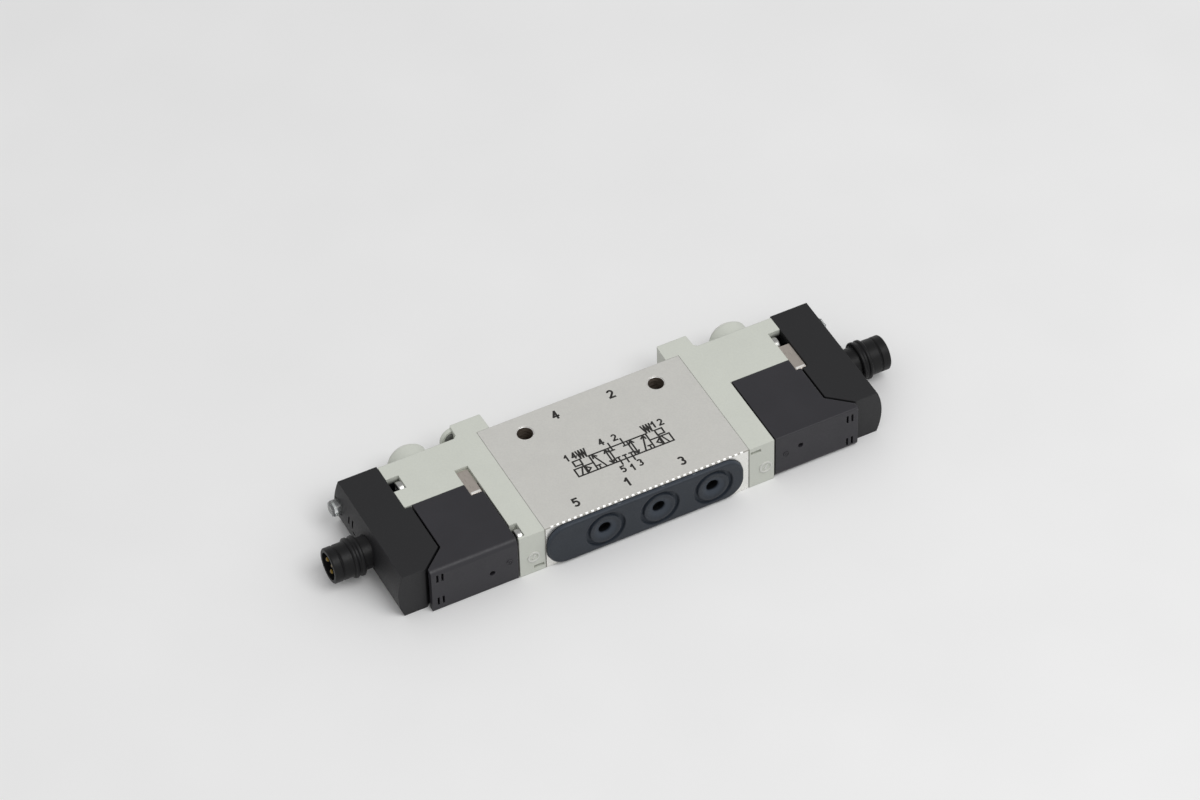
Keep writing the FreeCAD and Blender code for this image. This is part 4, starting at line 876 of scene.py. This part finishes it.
def symbol_strokes():
    """The five-port, two-position symbol with its springs and pilot boxes."""
    low, high = SYMBOL_LOW, SYMBOL_HIGH
    strokes = straight((-9.4, low), (10.0, low)) + straight((-5.55, high), (6.08, high))
    for x in (-5.55, -1.67, 2.17, 6.08):
        strokes += straight((x, low), (x, high))
    for flip, edge, top in ((1, 6.08, -3.0), (-1, -5.55, -3.1)):
        # The drive of one end: its box, triangle and slanting line, the spring's box above it
        # and the spring, each as a path of points from the symbol's edge outwards.
        for path in (((0, top), (3.9, top), (3.9, low)),
                     ((1.95, top), (1.95, low)),
                     ((0.95, -4.05), (1.75, -3.35), (1.75, -4.75), (0.95, -4.05)),
                     ((2.3, top), (3.05, -4.98)),
                     ((1.85, high - 1.3), (3.3, high - 1.3), (3.3, high), (1.85, high),
                      (1.85, high - 1.3)),
                     ((1.97, high - 1.3), (1.97, top)),
                     ((0, 0.85), (0.35, -1.1), (0.57, 0.85), (0.92, -1.1), (1.14, 0.85),
                      (1.49, -1.1), (1.71, 0.85))):
            strokes += straight(*((edge + flip * x, y) for x, y in path))
    # The lines of the ports, each closed by a bar.
    for places, start, end, bar in (((-1.02, 1.5), -0.1, -2.05, -2.05),
                                    ((-1.0, 0.25, 1.53), -4.1, -6.0, -4.1),
                                    ((-4.9, 5.45), low, -4.1, -4.1)):
        for x in places:
            strokes += straight((x, start), (x, end))
            strokes += straight((x - PORT_BAR, bar), (x + PORT_BAR, bar))
    for start, end in ((-3.65, -4.95), (4.25, 5.45)):
        strokes += arrow((start, low), (end, -1.35))
    for x in (-2.3, 2.8):
        strokes += arrow((x, low + 0.1), (x, high - 0.1), both=True)
    return strokes


def stroke_tree():
    """Printed lines: each chain of edges becomes a flat bar."""
    tree, given = start_tree("printed_lines", {"Stroke": "Float", "Film": "Float"})
    curve = add_node(tree, "GeometryNodeMeshToCurve", inputs={"Mesh": given["Geometry"]})
    section = add_node(tree, "GeometryNodeCurvePrimitiveQuadrilateral", inputs={
        "Width": given["Stroke"], "Height": given["Film"]})
    upright = add_node(tree, "GeometryNodeSetCurveNormal", {"mode": "Z_UP"}, {"Curve": curve})
    bars = add_node(tree, "GeometryNodeCurveToMesh", inputs={
        "Curve": upright, "Profile Curve": section, "Fill Caps": True})
    island = add_node(tree, "GeometryNodeInputMeshIsland").outputs["Island Index"]
    turn = add_node(tree, "ShaderNodeMath", {"operation": "MODULO"},
                    {0: island, 1: LINE_LEVELS})
    lift = add_node(tree, "ShaderNodeMath", {"operation": "MULTIPLY"},
                    {0: turn, 1: mm(LINE_LIFT)})
    offset = add_node(tree, "ShaderNodeCombineXYZ", inputs={"Z": lift})
    return end_tree(tree, add_node(tree, "GeometryNodeSetPosition", inputs={
        "Geometry": bars, "Offset": offset}), "ink")


def printed(strokes, width, film):
    """Strokes on the body's top as flat bars; a straight one reaches half a width past its
    ends."""
    level = (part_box("valve_body")[1].z + film / 2) / MM
    points, edges = [], []
    for stroke in strokes:
        if len(stroke) == 2:
            (ax, ay), (bx, by) = stroke
            share = width / MM / 2 / math.hypot(bx - ax, by - ay)
            over_x, over_y = (bx - ax) * share, (by - ay) * share
            stroke = [(ax - over_x, ay - over_y), (bx + over_x, by + over_y)]
        edges += [(len(points) + step, len(points) + step + 1)
                  for step in range(len(stroke) - 1)]
        points += [(x, y, level) for x, y in stroke]
    return grown(points_mesh(points, edges), stroke_tree(), {"Stroke": width, "Film": film})


# ---------------------------------------------------------------- cut and moulded detail

# The bevel along the body's near top edge, how far a facet stands clear of it, and what is left
# free at the ends of the row.
EDGE_BREAK = 0.2
NICK_HEIGHT = 0.012
NICK_MARGIN = 1.0


class VALVE_OT_edge_nicks(bpy.types.Operator):
    """Sets the row of cut facets with painted highlight on the bevel of the body's near top edge
    """
    bl_idname = "valve.edge_nicks"
    bl_label = "Edge facets"

    def execute(self, context):
        detail = context.scene.valve_detail
        low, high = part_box("valve_body")
        bead = placed(facet(detail.nick_length, detail.nick_width, mm(NICK_HEIGHT)),
                      Matrix.Rotation(math.radians(45), 4, "X"))
        count = int((high.x - low.x - mm(NICK_MARGIN)) / detail.nick_pitch)
        start = (low.x + high.x) / 2 - detail.nick_pitch * (count - 1) / 2
        half = EDGE_BREAK / 2
        row = [((start + detail.nick_pitch * step) / MM, low.y / MM + half, high.z / MM - half)
               for step in range(count)]
        add_piece("edge_nicks", copied(bead, row, "facet_row", "cut_aluminium_and_glint"),
                  "body_aluminium", "cut_aluminium_and_glint", smooth_angle=10)
        return {"FINISHED"}


# The two mounting holes: where they stand along X, their line across, their radius and bevel, and
# how far the bright rim stands clear of the bevel.
HOLE_STATIONS = (-13.1, 13.9)
HOLE_LINE = 9.5
HOLE_RADIUS = 1.6
HOLE_BEVEL = 0.19
RIM_FILM = 0.006


class VALVE_OT_hole_rims(bpy.types.Operator):
    """Gives the mounting holes the cut rim of their bevel, painted bright as a painted highlight
    """
    bl_idname = "valve.hole_rims"
    bl_label = "Hole rims"

    def execute(self, context):
        rim = spun([(HOLE_RADIUS + HOLE_BEVEL + RIM_FILM, RIM_FILM),
                    (HOLE_RADIUS - HOLE_BEVEL / 3, -HOLE_BEVEL - RIM_FILM),
                    (HOLE_RADIUS + HOLE_BEVEL, -2 * HOLE_BEVEL)], capped=False)
        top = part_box("valve_body")[1].z / MM
        places = [(x, HOLE_LINE, top) for x in HOLE_STATIONS]
        add_piece("hole_rims", copied(rim, places, "rims", "cut_aluminium_and_glint"), "body_aluminium",
                  "cut_aluminium_and_glint")
        return {"FINISHED"}


# A clip's lip: its length as a share of the clip's, its width and height, how far it leans
# towards the near side in degrees, and how far its middle lies in from the clip's end and below
# its face.
LIP_SHARE = 0.98
LIP_WIDTH = 0.8
LIP_HEIGHT = 0.08
LIP_LEAN = 30
LIP_INSET = 0.34
LIP_SINK = 0.1


class VALVE_OT_clip_lips(bpy.types.Operator):
    """Turns the near end of each spring clip over in a lip painted white as a painted highlight"""
    bl_idname = "valve.clip_lips"
    bl_label = "Clip lips"

    def execute(self, context):
        for stem in ("label_side_clip", "back_side_clip"):
            for side in SIDES:
                low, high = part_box(f"{stem}_{side}")
                lip = facet((high.x - low.x) * LIP_SHARE, mm(LIP_WIDTH), mm(LIP_HEIGHT))
                lip.transform(Matrix.Rotation(math.radians(LIP_LEAN), 4, "X"))
                level = high.z - mm(LIP_SINK)
                if high.z - LEVEL < LEVEL - low.z:
                    lip.transform(Matrix.Scale(-1, 4, (0, 0, 1)))
                    lip.flip_normals()
                    level = low.z + mm(LIP_SINK)
                lip.transform(Matrix.Translation(((low.x + high.x) / 2,
                                                  low.y + mm(LIP_INSET), level)))
                # Each lip is painted white as a painted highlight on the clip's bent end.
                add_piece(f"{stem}_lip_{side}", lip, "clip_steel", "clip_edge_highlight")
        return {"FINISHED"}


# The window in each end module's hoop: where it starts and ends along X, low and high along Z,
# and the stretch across that the dark sheet fills.
HOOP_WINDOW = (-25.93, -24.6, 4.77, 8.93)
HOOP_PAD = (16.15, 16.8)


class VALVE_OT_hoop_pads(bpy.types.Operator):
    """Fills the window of each hoop with a dark grey sheet"""
    bl_idname = "valve.hoop_pads"
    bl_label = "Hoop pads"

    def execute(self, context):
        start, end, bottom, top = HOOP_WINDOW
        bend = end - start
        outline = (arc(end, top - bend, bend, bend, 90, 180)
                   + arc(end, bottom + bend, bend, bend, 180, 270))
        for side in SIDES:
            pad = skinned([[(mm(x), mm(y), mm(z)) for x, z in outline] for y in HOOP_PAD])
            add_piece(f"hoop_pad_{side}", placed(pad, side_turn(side)), "housing_plastic",
                      "dark_window_fill")
        return {"FINISHED"}


# The nibs on the gasket: where they stand along X, the line across on which they stand, and the
# length, width and height of one.
NIB_PLACES = (-5.97, 2.97, 9.3)
NIB_LINE = -14.0
NIB_SIZE = (0.8, 0.32, 0.07)


class VALVE_OT_gasket_nibs(bpy.types.Operator):
    """Leaves the three torn-off nibs of the moulding on the gasket's upper rim"""
    bl_idname = "valve.gasket_nibs"
    bl_label = "Gasket nibs"

    def execute(self, context):
        top = seat("port_gasket", (mm(NIB_PLACES[0]), mm(NIB_LINE), mm(ABOVE)), (0, 0, -1)).z
        places = [(x, NIB_LINE, top / MM) for x in NIB_PLACES]
        nibs = copied(facet(*(mm(part) for part in NIB_SIZE)), places, "nibs", "gasket_nib")
        add_piece("gasket_nibs", nibs, "gasket_rubber", "gasket_nib")
        return {"FINISHED"}


# Moulders' round marks on the near faces: node, X, Z, outer radius and ring width, and what
# stands in the ring: a leaning polished bar, or a dot.
ROUND_MARKS = [("pilot_housing_left", -23.2, 4.1, 1.25, 0.42, "bar"),
               ("pilot_housing_right", 24.25, 3.9, 1.35, 0.42, "bar"),
               ("solenoid_case_left", -28.0, 5.1, 0.62, 0.16, "dot"),
               ("solenoid_case_right", 28.5, 5.1, 0.62, 0.16, "dot")]
# How far each kind stands proud; the bar's length and width and the dot's radius, as shares of
# the mark's radius; and the bar's turn in degrees.
MARK_PROUD = {"bar": 0.16, "dot": 0.09}
BAR_LENGTH = 1.1
BAR_WIDTH = 0.5
DOT_RADIUS = 0.28
BAR_TURN = 62


class VALVE_OT_moulding_marks(bpy.types.Operator):
    """Raises the round insert marks on the near faces of the mouldings"""
    bl_idname = "valve.moulding_marks"
    bl_label = "Moulding marks"

    def execute(self, context):
        for node, x, z, radius, width, inner in ROUND_MARKS:
            proud = MARK_PROUD[inner]
            ring = tube(mm(radius - width), mm(radius), mm(proud * 2))
            if inner == "bar":
                middle = placed(facet(mm(radius * BAR_LENGTH), mm(radius * BAR_WIDTH),
                                      mm(proud * 2)),
                                Matrix.Rotation(math.radians(BAR_TURN), 4, "Z"))
            else:
                dot = radius * DOT_RADIUS
                middle = spun([(dot, 0), (dot, proud * 1.4), (dot * 0.8, proud * 2)], 24)
            place = seat(node, (mm(x), mm(NEAR), mm(z)), (0, 1, 0)) + Vector((0, mm(proud), 0))
            mark = placed(joined((ring, middle)),
                          Matrix.Translation(place) @ Matrix.Rotation(math.pi / 2, 4, "X"))
            add_piece(f"mark_on_{node}", mark, SLOTS[node],
                      "polished_mark" if inner == "bar" else None)
        return {"FINISHED"}


# ---------------------------------------------------------------- threads, springs and coils

# The outlets on the far edge: where their axes stand along X, the stretch of thread along Y and
# the radius of its ridge.
OUTLETS = {"outlet_thread_4": -3.55, "outlet_thread_2": 7.45}
THREAD_STRETCH = (8.3, 13.45)
OUTLET_RADIUS = 2.1


class VALVE_OT_outlet_threads(bpy.types.Operator):
    """Winds the thread ridge inside each outlet"""
    bl_idname = "valve.outlet_threads"
    bl_label = "Outlet threads"

    def execute(self, context):
        detail = context.scene.valve_detail
        tree = helix_tree("thread_ridge", "body_aluminium")
        low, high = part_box("valve_body")
        length = mm(THREAD_STRETCH[1] - THREAD_STRETCH[0])
        for name, x in OUTLETS.items():
            ridge = grown(points_mesh(), tree, {
                "Turns": length / detail.port_thread_pitch, "Radius": mm(OUTLET_RADIUS),
                "Length": length, "Bar radius": detail.port_thread_depth / 2,
                "Steps": 40, "Sides": 4})
            place = (mm(x), mm(THREAD_STRETCH[0]), (low.z + high.z) / 2)
            add_piece(name, placed(ridge, Matrix.Translation(place) @ ALONG["Y"]),
                      "body_aluminium")
        return {"FINISHED"}


# A screw's head: radius, height, edge rounding; its six-lobed drive: radius and depth, the share
# by which a lobe stands out and that to which the drive narrows at its foot, and the width and
# depth of the small bevel round it; its shank: radius, fillet under the head and length of the
# thread; and how many rings draw one turn of the thread.
SCREW_HEAD = (1.6, 1.2, 0.35)
SCREW_DRIVE = (0.72, 0.7)
DRIVE_LOBE = 0.14
DRIVE_FOOT = 0.85
DRIVE_BEVEL = (0.05, 0.03)
SCREW_SHANK = 0.8
SHANK_FILLET = 0.15
SCREW_THREADED = 7.0
TURN_RINGS = 6


def make_screw(length, pitch, ridge):
    """A cylinder-head screw with a six-lobed drive, its shank along +X from the head's seat."""
    head, height, rounding = SCREW_HEAD
    drive, deep = SCREW_DRIVE

    def star(angle):
        return drive * (1 + DRIVE_LOBE * math.cos(6 * angle))

    rings = [(0.04, deep - height), (lambda angle: star(angle) * DRIVE_FOOT, deep - height),
             (star, deep * 0.8 - height), (star, DRIVE_BEVEL[1] - height),
             (lambda angle: star(angle) + DRIVE_BEVEL[0], -height), (head - rounding, -height)]
    rings += [(head - rounding * (1 - math.sin(turn)), rounding * (1 - math.cos(turn)) - height)
              for turn in (0.4, 0.8, 1.2, math.pi / 2)]
    rings += [(head, 0), (SCREW_SHANK + SHANK_FILLET, 0.001), (SCREW_SHANK, SHANK_FILLET)]
    start = length - SCREW_THREADED
    steps = int(SCREW_THREADED / pitch * TURN_RINGS)
    for step in range(steps + 1):
        along = start + SCREW_THREADED * step / steps

        def groove(angle, along=along):
            phase = (along / pitch - angle / math.tau) % 1
            fade = min(1, (along - start) / pitch, max(0.3, (length - along) / pitch))
            return SCREW_SHANK - ridge * fade * (1 - abs(phase * 2 - 1))
        rings.append((groove, along))
    rings.append((SCREW_SHANK * 0.5, length))
    # The rings stand along Z: now Z becomes X, X becomes Y and Y becomes Z.
    return placed(spun(rings, 36), Matrix(((0, 0, 1), (1, 0, 0), (0, 1, 0))).to_4x4())


class VALVE_OT_screws(bpy.types.Operator):
    """Makes the screws of both end modules, with their drives and threads"""
    bl_idname = "valve.screws"
    bl_label = "Screws"

    def execute(self, context):
        detail = context.scene.valve_detail
        head, height = SCREW_HEAD[:2]
        for stem in ("housing_screws", "collar_screw"):
            low, high = (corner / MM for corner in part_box(stem + "_left"))
            screw = make_screw(high.x - low.x - height, detail.screw_pitch / MM,
                               detail.screw_thread / MM)
            levels = [high.z - head]
            if stem == "housing_screws":
                levels.insert(0, low.z + head)
            places = [(low.x + height, (low.y + high.y) / 2, level) for level in levels]
            for side in SIDES:
                mesh = copied(screw, places, "screw_places", "screw_steel")
                node = f"{stem}_{side}"
                add_piece(f"{node}_threaded", placed(mesh, side_turn(side)), "screw_steel",
                          replaced=(node,))
        return {"FINISHED"}


# Each spring's axis, mean radius and wire radius in millimetres, the joint that squashes it and
# that joint's travel.
SPRINGS = {"centring_spring": ("X", 2.65, 0.255, "spool_shift", 1.5),
           "override_spring": ("Y", 1.3, 0.175, "override_press_{side}", 1.2),
           "armature_spring": ("Y", 0.945, 0.15, "armature_pull_{side}", 0.4)}
SPRING_TURNS = 4.0


class VALVE_OT_springs(bpy.types.Operator):
    """Winds each spring in round wire"""
    bl_idname = "valve.springs"
    bl_label = "Springs"

    def execute(self, context):
        tree = helix_tree("spring_wire", "spring_steel")
        for stem, (axis, mean, wire, joint, travel) in SPRINGS.items():
            for side in SIDES:
                node = f"{stem}_{side}"
                low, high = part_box(node)
                centre = (low + high) / 2
                along = Vector((axis == "X", axis == "Y", 0))
                length = (high - low).dot(along)
                coil = grown(points_mesh(), tree, {
                    "Turns": SPRING_TURNS, "Radius": mm(mean), "Bar radius": mm(wire),
                    "Length": length - mm(wire) * 2, "Steps": 36, "Sides": 10})
                start = centre - along * (length / 2 - mm(wire))
                piece = add_piece(f"{node}_wire",
                                  placed(coil, Matrix.Translation(start) @ ALONG[axis]),
                                  "spring_steel", replaced=(node,))
                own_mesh(piece)
        return {"FINISHED"}


# How far the layers below the outer one stay under it, as a share of the wire's radius.
LAYERS_BELOW = 1.2


class VALVE_OT_windings(bpy.types.Operator):
    """Winds the outer layer of each coil's wire on the layers below it"""
    bl_idname = "valve.windings"
    bl_label = "Windings"

    def execute(self, context):
        width = context.scene.valve_detail.wire_width
        wire = width / 2
        tree = helix_tree("coil_winding", "copper_wire")
        for side in SIDES:
            node = f"coil_winding_{side}"
            low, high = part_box(node)
            centre = (low + high) / 2
            radius = (high.x - low.x) / 2
            length = high.y - low.y - wire * 2
            bobbin = min(math.hypot(vertex.co.x - centre.x, vertex.co.z - centre.z)
                         for vertex in NODES[node].data.vertices)
            coil = grown(tube(bobbin, radius - wire * LAYERS_BELOW, length), tree, {
                "Turns": length / width, "Radius": radius - wire, "Length": length,
                "Bar radius": wire, "Steps": 26, "Sides": 6})
            place = Matrix.Translation((centre.x, low.y + wire, centre.z)) @ ALONG["Y"]
            add_piece(f"coil_wire_{side}", placed(coil, place), "copper_wire",
                      replaced=(node,))
        return {"FINISHED"}


# ---------------------------------------------------------------- lamps and boards

# Vertices nearer than this are one, a bend under the first angle is flat, and an edge over the
# second one is rounded, in so many steps.
SEAM = 0.002
FLAT_BEND = 3
SHARP_BEND = 40
WINDOW_STEPS = 5


class VALVE_OT_light_windows(bpy.types.Operator):
    """Rounds and polishes the clear window that shows each lamp"""
    bl_idname = "valve.light_windows"
    bl_label = "Light windows"

    def execute(self, context):
        width = context.scene.valve_detail.window_rounding
        for side in SIDES:
            node = f"light_pipe_{side}"
            shape = bmesh.new()
            shape.from_mesh(NODES[node].data)
            bmesh.ops.remove_doubles(shape, verts=shape.verts, dist=mm(SEAM))
            bmesh.ops.dissolve_limit(shape, angle_limit=math.radians(FLAT_BEND),
                                     verts=shape.verts, edges=shape.edges)
            sharp = [edge for edge in shape.edges
                     if edge.calc_face_angle(0) > math.radians(SHARP_BEND)]
            bmesh.ops.bevel(shape, geom=sharp, offset=width, segments=WINDOW_STEPS, profile=0.5,
                            affect="EDGES", clamp_overlap=True)
            add_piece(f"light_window_{side}", mesh_of(shape), "light_pipe_plastic",
                      replaced=(node,))
        return {"FINISHED"}


# The chips on each circuit board: distances along Y from its far end, the size and rounding of
# one, the length of its tin caps, their rounding and how much wider and higher they are. The
# lamp: its distance from that end, its gap to the board's side, its size and rounding.
CHIP_STATIONS = (5.0, 7.4, 9.8, 12.2)
CHIP_SIZE = (1.6, 0.8, 0.5)
CHIP_ROUNDING = 0.06
CAP_LENGTH = 0.3
CAP_ROUNDING = 0.05
CAP_GROWTH = 1.04
LAMP_STATION = 1.0
LAMP_GAP = 0.1
LAMP_SIZE = (1.0, 1.6, 0.7)
LAMP_ROUNDING = 0.15


class VALVE_OT_board_parts(bpy.types.Operator):
    """Solders the small chips and the lamp on each circuit board"""
    bl_idname = "valve.board_parts"
    bl_label = "Board parts"

    def execute(self, context):
        low, high = (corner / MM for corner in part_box("circuit_board_left"))
        places = [((low.x + high.x) / 2, high.y - station, high.z) for station in CHIP_STATIONS]
        reach = (CHIP_SIZE[0] + CAP_LENGTH) / 2
        ends = [(x + turn * reach, y, z) for x, y, z in places for turn in (-1, 1)]
        cap = (CAP_LENGTH, CHIP_SIZE[1] * CAP_GROWTH, CHIP_SIZE[2] * CAP_GROWTH)
        lamp_place = (low.x + LAMP_SIZE[0] / 2 + LAMP_GAP, high.y - LAMP_STATION, high.z)
        for side in SIDES:
            for name, size, rounding, points, finish in (
                    ("chips", CHIP_SIZE, CHIP_ROUNDING, places, "part_ceramic"),
                    ("chip_caps", cap, CAP_ROUNDING, ends, "part_tin"),
                    ("lamp", LAMP_SIZE, LAMP_ROUNDING, [lamp_place], "lamp_yellow")):
                mesh = copied(block(size, rounding), points, name, finish)
                add_piece(f"{name}_{side}", placed(mesh, side_turn(side)), "board_laminate",
                          finish)
        return {"FINISHED"}


# ---------------------------------------------------------------- stage

# Half the floor's width in metres, and its drop below the valve.
FLOOR_REACH = 6.0
FLOOR_DROP = 0.02
# How bright the pale wall is to a gloss, and between which heights it turns into the ceiling.
WALL = "e4e4e4"
WALL_TOP = (0.2, 0.5)
# Where the key light stands from the valve, its distance and width in metres.
KEY_TOWARDS = (0.2, -0.5, 0.9)
KEY_DISTANCE = 0.9
KEY_WIDTH = 0.55
# The point on the floor that the camera looks at, in millimetres.
CAMERA_TARGET = (7.12, 19.20)


class VALVE_OT_stage(bpy.types.Operator):
    """Lays the floor, sets the light and the camera"""
    bl_idname = "valve.stage"
    bl_label = "Floor, light and camera"

    def execute(self, context):
        stage = context.scene.valve_stage
        context.scene.view_settings.view_transform = "Standard"
        for make in (make_floor, make_sky, make_key, make_camera):
            make(stage)
        return {"FINISHED"}


def make_floor(stage):
    """A wide pale paper floor with a very faint mottle."""
    mesh = bpy.data.meshes.new("floor")
    mesh.from_pydata([(x * FLOOR_REACH, y * FLOOR_REACH, -mm(FLOOR_DROP))
                      for x, y in ((-1, -1), (1, -1), (1, 1), (-1, 1))], [], [(0, 1, 2, 3)])
    material, tree, place, _ = start_material("paper_matt_pale")
    mottle = add_node(tree, "ShaderNodeValToRGB",
                      inputs={"Fac": grain(tree, place, 40.0, detail=2.0)},
                      ramp=((0.3, shade(stage.floor[:], 0.985)),
                            (0.7, shade(stage.floor[:], 1.015))))
    mesh.materials.append(finish_material(material, tree, {
        "Base Color": covered(tree, stage.bounce[:], [(looked_at(tree), mottle)]),
        "Roughness": 0.9, "Specular IOR Level": 0.1}))
    floor = new_object("floor", mesh)


def looked_at(tree):
    """One where the camera, a gloss or a clear piece looks, and nought where light only falls."""
    rays = add_node(tree, "ShaderNodeLightPath").outputs
    seen = rays["Is Camera Ray"]
    for kind in ("Is Glossy Ray", "Is Transmission Ray"):
        seen = add_node(tree, "ShaderNodeMath", {"operation": "MAXIMUM"},
                        {0: seen, 1: rays[kind]})
    return seen


def make_sky(stage):
    """Even soft light on surfaces; the camera or a gloss sees a pale wall under a dim ceiling."""
    world = bpy.data.worlds.new("studio")
    world.use_nodes = True
    bpy.context.scene.world = world
    tree = world.node_tree
    tree.nodes.clear()
    direction = add_node(tree, "ShaderNodeTexCoord").outputs["Generated"]
    height = add_node(tree, "ShaderNodeSeparateXYZ", inputs={"Vector": direction}).outputs["Z"]
    level = add_node(tree, "ShaderNodeMapRange", inputs={
        "Value": height, "From Min": WALL_TOP[0], "From Max": WALL_TOP[1],
        "To Min": linear(WALL)[0], "To Max": stage.ceiling})
    soft, room = (add_node(tree, "ShaderNodeBackground", inputs={
        "Color": (1, 1, 1, 1), "Strength": strength}) for strength in (stage.sky, level))
    mixed = add_node(tree, "ShaderNodeMixShader", inputs={0: looked_at(tree), 1: soft, 2: room})
    add_node(tree, "ShaderNodeOutputWorld", inputs={"Surface": mixed})


def make_key(stage):
    """A broad soft light from above the near side."""
    towards = Vector(KEY_TOWARDS).normalized()
    light = bpy.data.lights.new("key", "AREA")
    light.shape = "DISK"
    light.size = KEY_WIDTH
    light.energy = stage.key * math.pi ** 2 * KEY_DISTANCE ** 2
    lamp = new_object("key", light)
    lamp.location = towards * KEY_DISTANCE
    lamp.rotation_euler = towards.to_track_quat("Z", "Y").to_euler()


def make_camera(stage):
    """The camera at the height, turn and distance of a photograph taken with a long lens."""
    turn, rise = stage.azimuth, stage.elevation
    back = Vector((math.sin(turn) * math.cos(rise), -math.cos(turn) * math.cos(rise),
                   math.sin(rise)))
    right = (-back).cross(Vector((0, 0, 1))).normalized()
    up = right.cross(-back)
    cosine, sine = math.cos(stage.roll), math.sin(stage.roll)
    across, above = right * cosine + up * sine, up * cosine - right * sine
    camera_data = bpy.data.cameras.new("camera")
    camera_data.lens = stage.lens
    camera_data.sensor_width = 36.0
    camera_data.clip_start = 0.05
    camera = new_object("camera", camera_data)
    target = Vector((mm(CAMERA_TARGET[0]), mm(CAMERA_TARGET[1]), 0))
    turned = Matrix((across, above, back)).transposed().to_4x4()
    camera.matrix_world = Matrix.Translation(target + back * stage.distance) @ turned
    bpy.context.scene.camera = camera


# ---------------------------------------------------------------- the add-on

OPERATORS = [VALVE_OT_finishes, VALVE_OT_body_marks, VALVE_OT_edge_nicks, VALVE_OT_hole_rims,
             VALVE_OT_clip_lips, VALVE_OT_hoop_pads, VALVE_OT_gasket_nibs,
             VALVE_OT_moulding_marks, VALVE_OT_outlet_threads, VALVE_OT_screws,
             VALVE_OT_springs, VALVE_OT_windings, VALVE_OT_light_windows,
             VALVE_OT_board_parts, VALVE_OT_stage]


class VALVE_PT_panel(bpy.types.Panel):
    """Sizes, colours and pieces of the valve"""
    bl_idname = "VALVE_PT_panel"
    bl_label = "Solenoid valve"
    bl_space_type = "VIEW_3D"
    bl_region_type = "UI"
    bl_category = "Valve"

    def draw(self, context):
        layout = self.layout
        for operator in OPERATORS:
            layout.operator(operator.bl_idname)
        for name, group in GROUPS.items():
            box = layout.box()
            box.label(text=group.__doc__)
            for field in group.__annotations__:
                box.prop(getattr(context.scene, name), field)


def register():
    """Registers the sizes and colours, the operators and the panel."""
    for name, group in GROUPS.items():
        bpy.utils.register_class(group)
        setattr(bpy.types.Scene, name, bpy.props.PointerProperty(type=group))
    for shown in (*OPERATORS, VALVE_PT_panel):
        bpy.utils.register_class(shown)


def unregister():
    """Takes back what register gave, in the other order."""
    for shown in (VALVE_PT_panel, *reversed(OPERATORS)):
        bpy.utils.unregister_class(shown)
    for name, group in GROUPS.items():
        delattr(bpy.types.Scene, name)
        bpy.utils.unregister_class(group)


def main():
    """Makes every piece in order."""
    register()
    for operator in OPERATORS:
        getattr(bpy.ops.valve, operator.bl_idname.removeprefix("valve."))()


if __name__ == "__main__":
    main()
